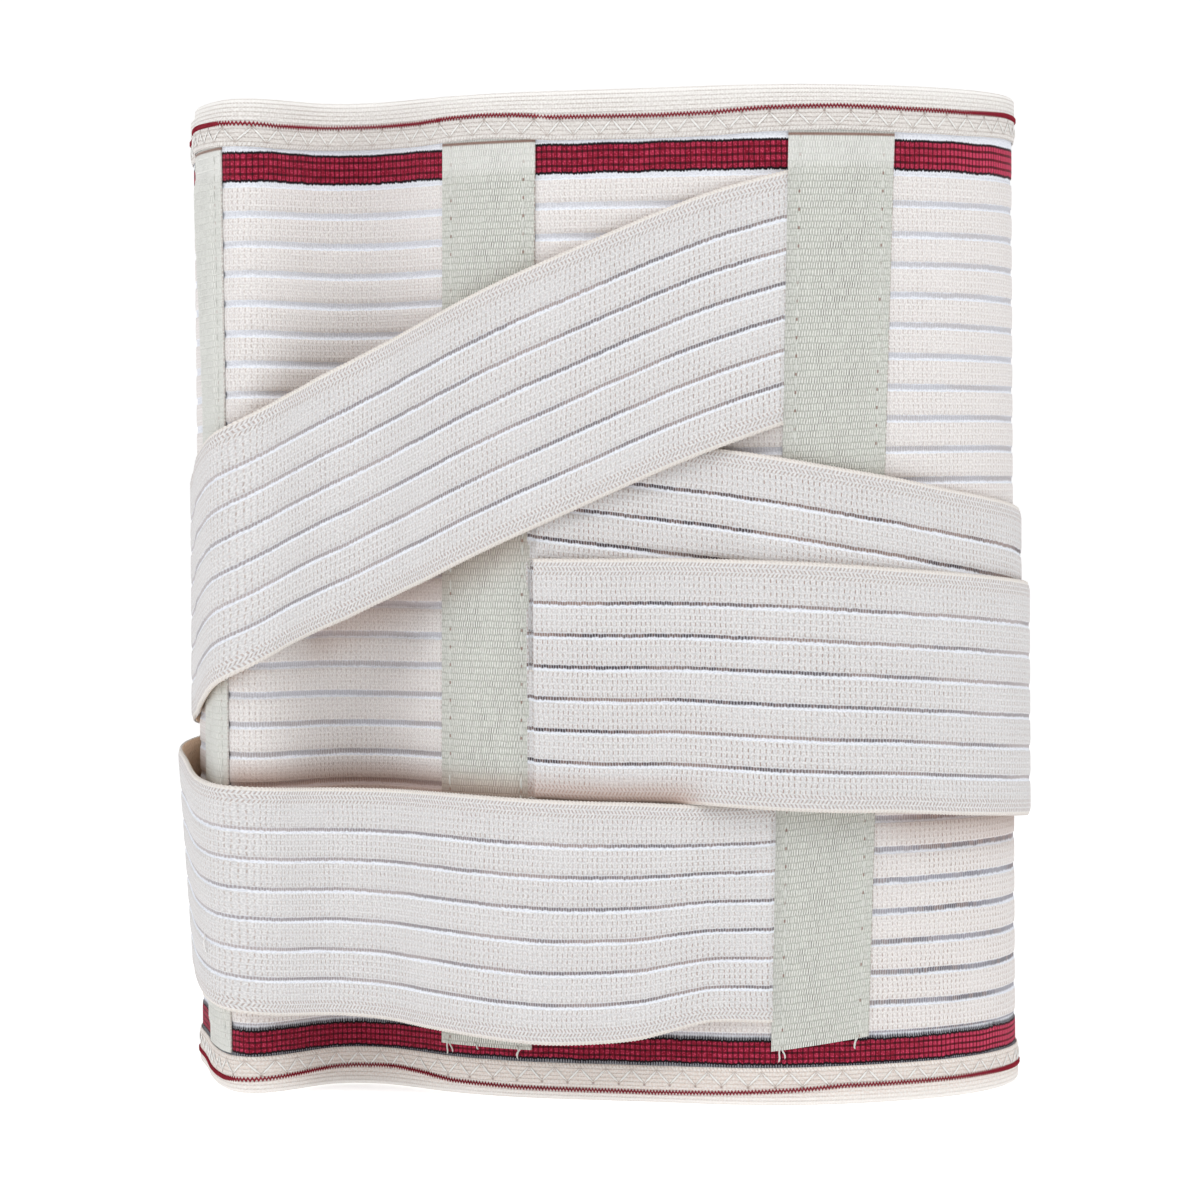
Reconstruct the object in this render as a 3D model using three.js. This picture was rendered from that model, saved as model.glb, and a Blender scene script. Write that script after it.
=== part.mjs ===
// A lumbosacral brace, closed into a loop and standing on its lower edge: a ribbed elastic panel
// with bound edges, upright casing tapes and four ribbed straps that cross on the back panel.
// Millimetres, +Z up. The back panel faces -Y and the panel's ends overlap on the far side, at +Y.
// Places along the panel are measured from its spine line, to the wearer's left as minus.

import * as THREE from 'three';
import { NURBSCurve } from 'three/addons/curves/NURBSCurve.js';
import { mergeVertices } from 'three/addons/utils/BufferGeometryUtils.js';

// Driving dimensions
const HEIGHT = 280; // of the bound panel
const SPINE_X = 14; // where the spine line stands in the plan
const GAP = 0.5; // kept between pieces that lie on each other

// Ribbed elastic of the panel and the straps
const PANEL_WALL = 2;
const RIB_COUNT = 28;
const FIRST_GROOVE = 18.9; // height of the groove above the lower coloured band
const LAST_GROOVE = 256.2; // height of the groove below the upper coloured band
const GROOVE_WIDTH = 1.8;
const GROOVE_DEPTH = 0.7;
const STRAP_WALL = 1.8;
const STRAP_WIDTH = 67.5;
const STRAP_EDGE_RIB = 11.5; // the two outer ribs carry the selvage
const STRAP_GROOVES = 6;

// Tapes and fastenings
const TOP_BINDING = 12.5; // heights of the two bindings
const BOTTOM_BINDING = 10.5;
const BINDING_WALL = 1;
const BINDING_FOOT = 1.7; // half the flat width that the brace stands on
const CASING_WALL = 1.6;
const CASING_EDGE = 0.9; // thickness of a casing at its stitched edges
const CASING_HEM = 4; // how far in from its edge a casing reaches its full thickness
const CASING_SLICES = 6; // facets across a casing
const CASING_LENGTHS = 4; // facets down a casing
const TAB_WALL = 3;
const PATCH_WALL = 3;
const PATCH_MARGIN = 4; // between the closure patch and the bindings

// Facets: the longest chord, the deepest sag of the true curve behind a chord, and the step
// over which a bend is measured
const LONGEST_FACET = 30;
const FACET_SAG = 0.5;
const BEND_STEP = 2;
const STRAIGHT = 1e-3; // radians over a step, below which a run counts as straight
const SAMPLES_PER_SPAN = 40; // for lengths along the plan curve
const WELD = 1e-4; // points of a strip closer than this are one point

const ELASTIC = { color: 0xded9d4, roughness: 0.9, metalness: 0 };
const BINDING_TAPE = { color: 0xdcd7d2, roughness: 0.85, metalness: 0 };
const CASING_TAPE = { color: 0xcdcfc9, roughness: 0.85, metalness: 0 };
const HOOK_TAPE = { color: 0xd2d0cb, roughness: 0.95, metalness: 0 };

// Plan of the panel, as the control points of a smooth curve from its inner end round the left,
// the back panel and the right to its outer end. `taut` is where a strap crosses the trough.
const PLAN = [
  { station: 'inner end', x: 36, y: 115.6, taut: 115.6 },
  { station: 'rear, inner layer', x: 2, y: 120.6, taut: 120.6 },
  { station: 'rear left', x: -44, y: 121.6, taut: 121.6 },
  { station: 'left rear bend', x: -100, y: 121, taut: 121 },
  { station: 'left bend', x: -123, y: 105, taut: 105 },
  { station: 'left wall', x: -115, y: 77, taut: 77 },
  { station: 'left shoulder', x: -110, y: 50, taut: 50 },
  { station: 'left corner', x: -104.5, y: 29.5, taut: 29.5 },
  { station: 'corner front', x: -96, y: 27.5, taut: 26 },
  { station: 'into the trough', x: -87, y: 36, taut: 27.5 },
  { station: 'trough, left', x: -78, y: 46.5, taut: 28.5 },
  { station: 'trough, right', x: -65, y: 46, taut: 29 },
  { station: 'out of the trough', x: -54, y: 38.5, taut: 28.5 },
  { station: 'middle casing', x: -42, y: 26.5, taut: 24.5 },
  { station: 'middle casing edge', x: -19, y: 15, taut: 15 },
  { station: 'spine', x: 14, y: 9, taut: 9 },
  { station: 'nearest', x: 46.5, y: -2.5, taut: -2.5 },
  { station: 'right casing edge', x: 80, y: 5, taut: 5 },
  { station: 'right shoulder', x: 105, y: 18, taut: 18 },
  { station: 'right bend', x: 122.8, y: 47, taut: 47 },
  { station: 'right rear bend', x: 109, y: 94, taut: 94 },
  { station: 'rear right', x: 46, y: 124, taut: 124 },
  { station: 'rear, outer layer', x: 0, y: 127.4, taut: 127.4 },
  { station: 'outer end', x: -36, y: 127, taut: 127 },
];

// Casings, left and right edge: places along the panel at the head and at the foot, and the
// heights of the foot's two corners.
const CASINGS = [
  { name: 'casing_left', head: [-166, -136], foot: [-166, -136], low: [11, 11] },
  { name: 'casing_middle', head: [-61, -32.3], foot: [-64, -35.4], low: [14, 13.6] },
  { name: 'casing_right', head: [38.5, 68.3], foot: [32.3, 59.2], low: [15, 18.6] },
];

// Straps: a row for each section, with the heights of both edges and how far each stands off.
const STRAPS = {
  strap_upper_left: [
    { along: -245, top: 165, bottom: 92, topLift: 2.8, bottomLift: 3 },
    { along: -222, top: 172.5, bottom: 99, topLift: 2.6, bottomLift: 3.4 },
    { along: -195, top: 179.3, bottom: 106.2, topLift: 0.5, bottomLift: 0.5 },
    { along: -160, top: 185.2, bottom: 112.6, topLift: 2.5, bottomLift: 2.5 },
    { along: -137, top: 189.3, bottom: 117, topLift: 2.8, bottomLift: 2.8 },
    { along: -97, top: 205, bottom: 133.4, topLift: 1.2, bottomLift: 1.2 },
    { along: -64, top: 218, bottom: 145.8, topLift: 2.7, bottomLift: 2.7 },
    { along: -34, top: 229.9, bottom: 158.3, topLift: 2.6, bottomLift: 2.8 },
    { along: -3, top: 242.5, bottom: 171.9, topLift: 1.2, bottomLift: 3 },
    { along: 18, top: 250, bottom: 180, topLift: 0.5, bottomLift: 2.9 },
    { along: 36, top: 255.1, bottom: 186.4, topLift: 0.2, bottomLift: 0.4 },
  ],
  strap_upper_right: [
    { along: -32.7, top: 186.8, bottom: 118.4, topLift: 0.2, bottomLift: 0.2 },
    { along: 18, top: 181, bottom: 113.8, topLift: 0.3, bottomLift: 0.3 },
    { along: 34, top: 178.4, bottom: 111.5, topLift: 2.4, bottomLift: 2.4 },
    { along: 50, top: 175.7, bottom: 108.8, topLift: 2.5, bottomLift: 2.5 },
    { along: 66, top: 173, bottom: 106, topLift: 2.4, bottomLift: 2.4 },
    { along: 84, top: 169.8, bottom: 102.6, topLift: 0.6, bottomLift: 0.6 },
    { along: 124, top: 163.9, bottom: 95, topLift: 0.1, bottomLift: 0.1 },
    { along: 205, top: 150, bottom: 82, topLift: 0.3, bottomLift: 0.3 },
  ],
  strap_lower_right: [
    { along: -33.1, top: 150.9, bottom: 84.8, topLift: 3.6, bottomLift: 1.6 },
    { along: 12, top: 151, bottom: 84.2, topLift: 3, bottomLift: 2.4 },
    { along: 34, top: 150, bottom: 82, topLift: 5, bottomLift: 4.8 },
    { along: 50, top: 149, bottom: 80.7, topLift: 5.1, bottomLift: 4.9 },
    { along: 66, top: 147.2, bottom: 80, topLift: 5, bottomLift: 4.6 },
    { along: 84, top: 145.6, bottom: 78.8, topLift: 3.2, bottomLift: 3 },
    { along: 124, top: 142.5, bottom: 75.8, topLift: 2.4, bottomLift: 2.4 },
    { along: 205, top: 136.5, bottom: 69.5, topLift: 2.7, bottomLift: 2.7 },
  ],
  strap_lower_left: [
    { along: -245, top: 101, bottom: 36, topLift: 0.4, bottomLift: 0.4 },
    { along: -222, top: 98, bottom: 32.5, topLift: 0.8, bottomLift: 0.8 },
    { along: -197, top: 93.6, bottom: 28.1, topLift: 4.2, bottomLift: 2 },
    { along: -165, top: 91.4, bottom: 28, topLift: 5.6, bottomLift: 3.2 },
    { along: -148, top: 89, bottom: 27.5, topLift: 5, bottomLift: 3.8 },
    { along: -126, top: 87.5, bottom: 23.8, topLift: 2.6, bottomLift: 3 },
    { along: -97, top: 86.2, bottom: 21.8, topLift: 0.4, bottomLift: 1.4 },
    { along: -64, top: 85.5, bottom: 19, topLift: 2.8, bottomLift: 4.8 },
    { along: -34, top: 84.2, bottom: 17.1, topLift: 3.2, bottomLift: 6.4 },
    { along: -19, top: 83.5, bottom: 17.2, topLift: 3.2, bottomLift: 7.2 },
    { along: -3, top: 83.3, bottom: 19.2, topLift: 3, bottomLift: 6.6 },
    { along: 16, top: 82.4, bottom: 23.4, topLift: 0.6, bottomLift: 2.6 },
    { along: 32, top: 82.8, bottom: 23.3, topLift: 0.2, bottomLift: 0.3 },
  ],
};

// Tabs that the strap ends meet on the far side, and the patch that closes the overlapped ends.
const TABS = [
  { name: 'tab_left', from: -286, to: -245.5, bottom: 38, top: 163 },
  { name: 'tab_right', from: 205.5, to: 246, bottom: 68, top: 152 },
];
const PATCH = { name: 'closure_patch', from: -367, to: -310 };

/** A clamped cubic curve in plan through one depth column of the plan table. */
function planCurve(depth) {
  const spans = PLAN.length - 3;
  const inner = Array.from({ length: spans + 1 }, (_, i) => i);
  const knots = [0, 0, 0, ...inner, spans, spans, spans];
  const curve = new NURBSCurve(3, knots, PLAN.map((row) => new THREE.Vector3(row.x, row[depth], 0)));
  curve.arcLengthDivisions = SAMPLES_PER_SPAN * spans;
  return curve;
}

const wall = planCurve('y');
const girth = planCurve('taut');
const spineAt = spineLength();

/** Length of the panel from its inner end to the spine line, on the side that faces -Y. */
function spineLength() {
  const lengths = wall.getLengths();
  const steps = lengths.length - 1;
  const halfway = steps / 2; // on the back panel, left of the spine line
  const isPast = (_, i) => i > halfway && wall.getPoint(i / steps).x >= SPINE_X;
  return lengths[lengths.findIndex(isPast)];
}

/** The point of a plan curve at a place along the panel, and the outward direction there. */
function planAt(curve, along) {
  const share = THREE.MathUtils.clamp((along + spineAt) / wall.getLength(), 0, 1);
  const t = wall.getUtoTmapping(share);
  const point = curve.getPoint(t);
  const tangent = curve.getTangent(t);
  return { point, outward: new THREE.Vector3(tangent.y, -tangent.x, 0).normalize() };
}

/** Places that cut a run along a plan curve into facets, closer together where it bends. */
function facetStops(curve, from, to) {
  const steps = Math.ceil((to - from) / BEND_STEP);
  let facets = 0;
  const places = evenStops(from, to, steps).map((along) => {
    const before = planAt(curve, along - BEND_STEP).outward;
    const after = planAt(curve, along + BEND_STEP).outward;
    const radius = (2 * BEND_STEP) / Math.max(before.angleTo(after), STRAIGHT);
    facets += (to - from) / steps / Math.min(Math.sqrt(8 * radius * FACET_SAG), LONGEST_FACET);
    return { along, facets };
  });
  const count = Math.ceil(facets);
  const inner = evenStops(0, facets, count).slice(1, -1);
  return [from, ...inner.map((share) => places.find((place) => place.facets >= share).along), to];
}

/** Equal steps from one value to another. */
function evenStops(from, to, count) {
  return Array.from({ length: count + 1 }, (_, i) => from + ((to - from) * i) / count);
}

/**
 * A closed strip: a profile of [across, out] points, run through `stops`, with each point of it
 * moved by `place(stop, across, out)`.
 */
function bentStrip(profile, stops, place) {
  const shape = new THREE.Shape(profile.map(([across, out]) => new THREE.Vector2(across, out)));
  const steps = stops.length - 1;
  const straight = new THREE.ExtrudeGeometry(shape, { depth: steps, steps, bevelEnabled: false });
  straight.deleteAttribute('normal');
  straight.deleteAttribute('uv');
  const strip = mergeVertices(straight, WELD);
  const { position } = strip.attributes;
  for (let i = 0; i < position.count; i += 1) {
    const stop = stops[Math.round(position.getZ(i))];
    position.setXYZ(i, ...place(stop, position.getX(i), position.getY(i)));
  }
  strip.computeVertexNormals();
  return strip;
}

/** The point that stands `out` from a plan curve at a place along it, at a height. */
function onPlan(curve, along, height, out) {
  const { point, outward } = planAt(curve, along);
  return [point.x + outward.x * out, point.y + outward.y * out, height];
}

/** Profile of ribbed elastic: flat inside, with a V groove between each two ribs outside. */
function ribbedProfile(low, high, grooves, thickness) {
  const ribs = grooves.flatMap((at) => [
    [at - GROOVE_WIDTH / 2, thickness],
    [at, thickness - GROOVE_DEPTH],
    [at + GROOVE_WIDTH / 2, thickness],
  ]);
  return [[low, 0], [low, thickness], ...ribs, [high, thickness], [high, 0]];
}

/** A named mesh of one piece. */
function piece(name, geometry, finish) {
  const mesh = new THREE.Mesh(geometry, new THREE.MeshStandardMaterial(finish));
  mesh.name = name;
  return mesh;
}

const panelEnd = wall.getLength() - spineAt;
const panelStops = facetStops(wall, -spineAt, panelEnd);

/** The ribbed wall, held at both edges inside the bindings. */
function makePanel() {
  const hem = BINDING_WALL + GAP;
  const grooves = evenStops(FIRST_GROOVE, LAST_GROOVE, RIB_COUNT);
  const profile = ribbedProfile(hem, HEIGHT - hem, grooves, PANEL_WALL);
  const place = (along, height, out) => onPlan(wall, along, height, out - PANEL_WALL / 2);
  return piece('panel', bentStrip(profile, panelStops, place), ELASTIC);
}

/** A tape folded over one edge of the panel, with a flat foot at `edge` and its legs to `inward`. */
function makeBinding(name, edge, inward, height) {
  const inside = PANEL_WALL / 2 + GAP;
  const outside = inside + BINDING_WALL;
  const half = [
    [0, BINDING_FOOT],
    [outside - BINDING_FOOT, outside],
    [height, outside],
    [height, inside],
    [BINDING_WALL, inside],
  ];
  const otherHalf = half.map(([across, out]) => [across, -out]).reverse();
  const profile = [...half, ...otherHalf].map(([across, out]) => [edge + inward * across, out]);
  const place = (along, level, out) => onPlan(wall, along, level, out);
  return piece(name, bentStrip(profile, panelStops, place), BINDING_TAPE);
}

/** An upright tape sewn over the panel, thinner at its stitched edges. */
function makeCasing(row) {
  const width = row.head[1] - row.head[0];
  const across = evenStops(0, width, CASING_SLICES);
  const crown = (at) => {
    const rise = Math.min(at, width - at, CASING_HEM) / CASING_HEM;
    return THREE.MathUtils.lerp(CASING_EDGE, CASING_WALL, rise);
  };
  const profile = [...across.map((at) => [at, crown(at)]), ...across.map((at) => [at, 0]).reverse()];
  const high = HEIGHT - TOP_BINDING - GAP;
  const place = (down, at, out) => {
    const share = at / width;
    const head = THREE.MathUtils.lerp(...row.head, share);
    const foot = THREE.MathUtils.lerp(...row.foot, share);
    const low = THREE.MathUtils.lerp(...row.low, share);
    const along = THREE.MathUtils.lerp(head, foot, down);
    return onPlan(wall, along, THREE.MathUtils.lerp(high, low, down), PANEL_WALL / 2 + GAP + out);
  };
  return piece(row.name, bentStrip(profile, evenStops(0, 1, CASING_LENGTHS), place), CASING_TAPE);
}

/** Value of a table's column at a place along, on a smooth curve through its rows. */
function columnAt(rows, column, along) {
  const last = rows.length - 1;
  const next = rows.findIndex((row) => row.along >= along);
  const k = THREE.MathUtils.clamp(next - 1, 0, last - 1);
  const slope = (i) => {
    const before = rows[Math.max(i - 1, 0)];
    const after = rows[Math.min(i + 1, last)];
    return (after[column] - before[column]) / (after.along - before.along);
  };
  const span = rows[k + 1].along - rows[k].along;
  const f = (along - rows[k].along) / span;
  const rise = f * f * (3 - 2 * f);
  const leave = f * (1 - f) * (1 - f) * span * slope(k);
  const arrive = f * f * (f - 1) * span * slope(k + 1);
  return THREE.MathUtils.lerp(rows[k][column], rows[k + 1][column], rise) + leave + arrive;
}

/** A ribbed strap that follows the rows of its table round the brace. */
function makeStrap(name, rows) {
  const innerRibs = (STRAP_WIDTH - 2 * STRAP_EDGE_RIB) / (STRAP_GROOVES - 1);
  const grooves = Array.from({ length: STRAP_GROOVES }, (_, i) => STRAP_EDGE_RIB + i * innerRibs);
  const profile = ribbedProfile(0, STRAP_WIDTH, grooves, STRAP_WALL);
  const between = (low, high, along, share) =>
    THREE.MathUtils.lerp(columnAt(rows, low, along), columnAt(rows, high, along), share);
  const place = (along, across, out) => {
    const share = across / STRAP_WIDTH;
    const height = between('bottom', 'top', along, share);
    const lift = between('bottomLift', 'topLift', along, share);
    return onPlan(girth, along, height, PANEL_WALL / 2 + GAP + lift + out);
  };
  const stops = facetStops(girth, rows[0].along, rows[rows.length - 1].along);
  return piece(name, bentStrip(profile, stops, place), ELASTIC);
}

/** A plain rectangular fastening that lies on the panel. */
function makePatch(name, from, to, bottom, top, thickness) {
  const profile = [[bottom, 0], [bottom, thickness], [top, thickness], [top, 0]];
  const place = (along, height, out) => onPlan(wall, along, height, PANEL_WALL / 2 + GAP + out);
  return piece(name, bentStrip(profile, facetStops(wall, from, to), place), HOOK_TAPE);
}

const brace = new THREE.Group();
brace.add(makePanel());
brace.add(makeBinding('top_binding', HEIGHT, -1, TOP_BINDING));
brace.add(makeBinding('bottom_binding', 0, 1, BOTTOM_BINDING));
CASINGS.forEach((row) => brace.add(makeCasing(row)));
Object.entries(STRAPS).forEach(([name, rows]) => brace.add(makeStrap(name, rows)));
TABS.forEach((tab) => brace.add(makePatch(tab.name, tab.from, tab.to, tab.bottom, tab.top, TAB_WALL)));
const patchEdge = TOP_BINDING + PATCH_MARGIN;
brace.add(makePatch(PATCH.name, PATCH.from, PATCH.to, patchEdge, HEIGHT - patchEdge, PATCH_WALL));

// The origin is under the middle of the whole brace.
const middle = new THREE.Box3().setFromObject(brace).getCenter(new THREE.Vector3());
brace.position.set(-middle.x, -middle.y, 0);

export default brace;
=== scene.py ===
"""The looks of a lumbosacral brace: ribbed elastic, bound edges, casing tapes, straps and stitching."""

import logging
import math
from dataclasses import dataclass, field
from enum import Enum
from typing import Callable, NamedTuple, Sequence, Union

import bmesh
import bpy
import numpy as np
from mathutils import Euler, Matrix, Vector


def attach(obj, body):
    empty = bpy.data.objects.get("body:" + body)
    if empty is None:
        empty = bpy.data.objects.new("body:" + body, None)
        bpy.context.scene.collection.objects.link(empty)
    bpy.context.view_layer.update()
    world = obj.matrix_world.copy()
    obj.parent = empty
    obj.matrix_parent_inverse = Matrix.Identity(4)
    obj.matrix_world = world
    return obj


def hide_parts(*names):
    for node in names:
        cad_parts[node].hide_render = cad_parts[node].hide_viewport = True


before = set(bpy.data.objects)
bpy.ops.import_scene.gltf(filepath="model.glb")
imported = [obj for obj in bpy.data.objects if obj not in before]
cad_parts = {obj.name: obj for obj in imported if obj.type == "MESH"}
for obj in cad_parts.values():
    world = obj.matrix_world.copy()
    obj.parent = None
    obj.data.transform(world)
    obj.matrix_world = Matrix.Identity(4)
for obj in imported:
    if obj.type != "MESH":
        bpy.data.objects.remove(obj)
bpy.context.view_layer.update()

LOG = logging.getLogger("brace")
MM = 0.001
BODY = "root"

# Driving dimensions of the brace, in millimetres
HEIGHT = 280.0
SPINE_X = 14.0
PLAN_OFFSET = (1.349, -60.829)  # from the plan table's origin to the brace's own
GAP = 0.5
PANEL_WALL = 2.0
STRAP_WALL = 1.8
STRAP_WIDTH = 67.5
STRAP_EDGE_RIB = 11.5
STRAP_GROOVES = 6
FIRST_GROOVE = 18.9
LAST_GROOVE = 256.2
RIB_COUNT = 28
TOP_BINDING = 12.5
BOTTOM_BINDING = 10.5
BINDING_WALL = 1.0
SEAT = PANEL_WALL / 2 + GAP  # where a piece that lies on the panel begins
GROOVE_DROP = 1.0  # how far a strap's grooves lie under their even places
STITCH_STEP = 3.65  # run of one leg of a binding's zigzag stitches
STITCH_NEAR = 1.2  # from the tape's hem to the nearer corners of the zigzag
STITCH_FAR = 5.0
STITCH_INSET = 4.0  # from the panel's ends to the first stitch
CASING_STITCH = 5.0  # from one hole to the next down a casing
CASING_HEM = 3.2  # from a casing's edge to its line of stitches

Array = np.ndarray
Place = Callable[[Array, Array, Array], Array]
Colour = tuple[float, float, float]


class PlanRow(NamedTuple):
    """A control point of the brace's plan, in millimetres; taut is where a strap bridges the trough."""

    station: str
    x: float
    y: float
    taut: float


PLAN = (
    PlanRow("inner end", 36, 115.6, 115.6),
    PlanRow("rear, inner layer", 2, 120.6, 120.6),
    PlanRow("rear left", -44, 121.6, 121.6),
    PlanRow("left rear bend", -100, 121, 121),
    PlanRow("left bend", -123, 105, 105),
    PlanRow("left wall", -115, 77, 77),
    PlanRow("left shoulder", -110, 50, 50),
    PlanRow("left corner", -104.5, 29.5, 29.5),
    PlanRow("corner front", -96, 27.5, 26),
    PlanRow("into the trough", -87, 36, 27.5),
    PlanRow("trough, left", -78, 46.5, 28.5),
    PlanRow("trough, right", -65, 46, 29),
    PlanRow("out of the trough", -54, 38.5, 28.5),
    PlanRow("middle casing", -42, 26.5, 24.5),
    PlanRow("middle casing edge", -19, 15, 15),
    PlanRow("spine", 14, 9, 9),
    PlanRow("nearest", 46.5, -2.5, -2.5),
    PlanRow("right casing edge", 80, 5, 5),
    PlanRow("right shoulder", 105, 18, 18),
    PlanRow("right bend", 122.8, 47, 47),
    PlanRow("right rear bend", 109, 94, 94),
    PlanRow("rear right", 46, 124, 124),
    PlanRow("rear, outer layer", 0, 127.4, 127.4),
    PlanRow("outer end", -36, 127, 127),
)


class CasingRow(NamedTuple):
    """A casing tape: places of its left and right edges at head and foot, and heights of its foot."""

    name: str
    head: tuple[float, float]
    foot: tuple[float, float]
    low: tuple[float, float]


CASINGS = (
    CasingRow("casing_left", (-166, -136), (-166, -136), (11, 11)),
    CasingRow("casing_middle", (-61, -32.3), (-64, -35.4), (14, 13.6)),
    CasingRow("casing_right", (38.5, 68.3), (32.3, 59.2), (15, 18.6)),
)


class StrapRow(NamedTuple):
    """A section of a strap: its place along the panel, heights of its edges and how far they stand off."""

    along: float
    top: float
    bottom: float
    top_lift: float
    bottom_lift: float


STRAPS = {
    "strap_upper_left": (
        StrapRow(-245, 165, 92, 0.8, 3),
        StrapRow(-222, 169.8, 97.6, -0.3, 2.2),
        StrapRow(-195, 174.5, 102.8, -0.1, 0.1),
        StrapRow(-160, 179.9, 107.9, 2.3, 2.3),
        StrapRow(-147, 182.5, 111.3, 2.5, 2.5),
        StrapRow(-134, 186.9, 116.6, 2.5, 2.5),
        StrapRow(-125, 192.4, 122.4, 2.1, 2.1),
        StrapRow(-117, 196.2, 126.3, 1.8, 1.8),
        StrapRow(-108, 199.5, 129.3, 1.4, 1.4),
        StrapRow(-97, 204.5, 133.4, 1.2, 1.2),
        StrapRow(-87, 209.3, 137.9, 1.5, 1.5),
        StrapRow(-76, 213.6, 141.8, 2.1, 2.1),
        StrapRow(-64, 217.9, 145.7, 2.7, 2.7),
        StrapRow(-34, 230.6, 158.5, 2.6, 2.8),
        StrapRow(-3, 243.2, 171.9, 1.2, 3),
        StrapRow(18, 250.7, 180.2, 0.5, 2.9),
        StrapRow(39.5, 256.5, 188.3, 0.2, 0.4),
    ),
    "strap_upper_right": (
        StrapRow(-35.6, 186.8, 119.6, 0.2, 0.2),
        StrapRow(18, 180.6, 112.7, 0.3, 0.3),
        StrapRow(34, 178.1, 110, 2.4, 2.4),
        StrapRow(50, 175.1, 107.2, 2.5, 2.5),
        StrapRow(66, 172.2, 104.5, 2.4, 2.4),
        StrapRow(84, 168.8, 101.3, 0.6, 0.6),
        StrapRow(124, 162.9, 94.4, 0.1, 0.1),
        StrapRow(205, 150, 82, 0.3, 0.3),
    ),
    "strap_lower_right": (
        StrapRow(-36, 150.5, 84.2, 3.6, 0.5),
        StrapRow(-12, 150.4, 83.1, 3.4, 0.6),
        StrapRow(5, 150.5, 83.3, 3, 0.9),
        StrapRow(15, 150.3, 83.1, 3.2, 2.4),
        StrapRow(34, 149.7, 82, 5, 4.8),
        StrapRow(50, 148.7, 81.1, 5.1, 4.9),
        StrapRow(66, 147.3, 80.6, 5, 4.6),
        StrapRow(84, 145.8, 79.1, 3.2, 3),
        StrapRow(124, 142.1, 76, 2.4, 2.4),
        StrapRow(205, 136.5, 69.5, 2.7, 2.7),
    ),
    "strap_lower_left": (
        StrapRow(-245, 101, 36, 0.4, 0.4),
        StrapRow(-222, 98, 33, 0.4, -0.4),
        StrapRow(-197, 94, 29, 4.2, 0.4),
        StrapRow(-165, 91.6, 28.8, 5.6, 3.2),
        StrapRow(-148, 88.7, 27.4, 5, 3.8),
        StrapRow(-126, 86.8, 23.3, 2.6, 3),
        StrapRow(-97, 86.2, 22.5, 0.4, 1.4),
        StrapRow(-64, 85.3, 19.3, 2.8, 4.8),
        StrapRow(-34, 83.9, 16.6, 3.2, 6.4),
        StrapRow(-19, 83.4, 16.9, 3.2, 7.2),
        StrapRow(-3, 83.2, 18.5, 3.2, 6.6),
        StrapRow(8, 82.9, 21.3, 2.9, 4.6),
        StrapRow(17, 82.6, 23.5, 0.5, 2.4),
        StrapRow(35, 83.8, 23.2, 0.2, 0.3),
    ),
}


class FasteningRow(NamedTuple):
    """A plain fastening that lies on the panel: its ends along it, its edges' heights and its wall."""

    name: str
    start: float
    end: float
    bottom: float
    top: float
    wall: float


FASTENINGS = (
    FasteningRow("tab_left", -286, -245.5, 38, 163, 3),
    FasteningRow("tab_right", 205.5, 246, 68, 152, 3),
    FasteningRow("closure_patch", -367, -310, 16.5, 263.5, 3),
)


def tone(red: int, green: int, blue: int) -> Colour:
    """Linear colour of a display colour given in 0 to 255.

    Args:
        red: display red.
        green: display green.
        blue: display blue.

    Returns:
        The linear red, green and blue.
    """
    parts = [value / 255 for value in (red, green, blue)]
    linear = [p / 12.92 if p <= 0.04045 else ((p + 0.055) / 1.055) ** 2.4 for p in parts]
    return linear[0], linear[1], linear[2]


class PlanCurve:
    """A clamped cubic curve in plan, with places on it measured along its length."""

    DEGREE = 3
    SAMPLES_PER_SPAN = 40
    SLOPE_STEP = 1e-3

    def __init__(self, depths: Sequence[float]) -> None:
        """Fit the curve to the plan table's places and one column of depths.

        Args:
            depths: a depth for each row of the plan table.
        """
        self.controls = np.array([(row.x, depth) for row, depth in zip(PLAN, depths)])
        self.spans = len(PLAN) - self.DEGREE
        ends = [0.0] * self.DEGREE, [float(self.spans)] * self.DEGREE
        self.knots = np.concatenate([ends[0], np.arange(self.spans + 1.0), ends[1]])

    def points(self, t: Array) -> Array:
        """Plan points at curve values.

        Args:
            t: curve values from 0 to the number of spans.

        Returns:
            One row of x and y for each value.
        """
        t = np.clip(t, 0, self.spans - 1e-9)[:, None]
        knots = self.knots
        weight = ((knots[:-1] <= t) & (t < knots[1:])).astype(float)
        for degree in range(1, self.DEGREE + 1):
            count = len(knots) - 1 - degree
            rise = knots[degree:degree + count] - knots[:count]
            fall = knots[degree + 1:degree + 1 + count] - knots[1:1 + count]
            rise = np.where(rise > 0, rise, np.inf)
            fall = np.where(fall > 0, fall, np.inf)
            left = (t - knots[:count]) / rise
            right = (knots[degree + 1:degree + 1 + count] - t) / fall
            weight = left * weight[:, :count] + right * weight[:, 1:1 + count]
        return weight @ self.controls

    def outward(self, t: Array) -> Array:
        """Unit directions that point out of the brace.

        Args:
            t: curve values.

        Returns:
            One row of x and y for each value.
        """
        step = self.SLOPE_STEP
        low = np.clip(t - step, 0, self.spans)
        high = np.clip(t + step, 0, self.spans)
        tangent = self.points(high) - self.points(low)
        tangent /= np.linalg.norm(tangent, axis=1)[:, None]
        return np.stack([tangent[:, 1], -tangent[:, 0]], axis=1)

    def lengths(self) -> tuple[Array, Array]:
        """Curve values in even steps, and the length of the curve up to each.

        Returns:
            The values and the lengths.
        """
        t = np.linspace(0, self.spans, self.spans * self.SAMPLES_PER_SPAN + 1)
        steps = np.linalg.norm(np.diff(self.points(t), axis=0), axis=1)
        return t, np.concatenate([[0.0], np.cumsum(steps)])


class Form(Enum):
    """What a piece follows in plan: the panel's own wall, or the taut girth that a strap takes."""

    WALL = "wall"
    GIRTH = "girth"


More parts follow.
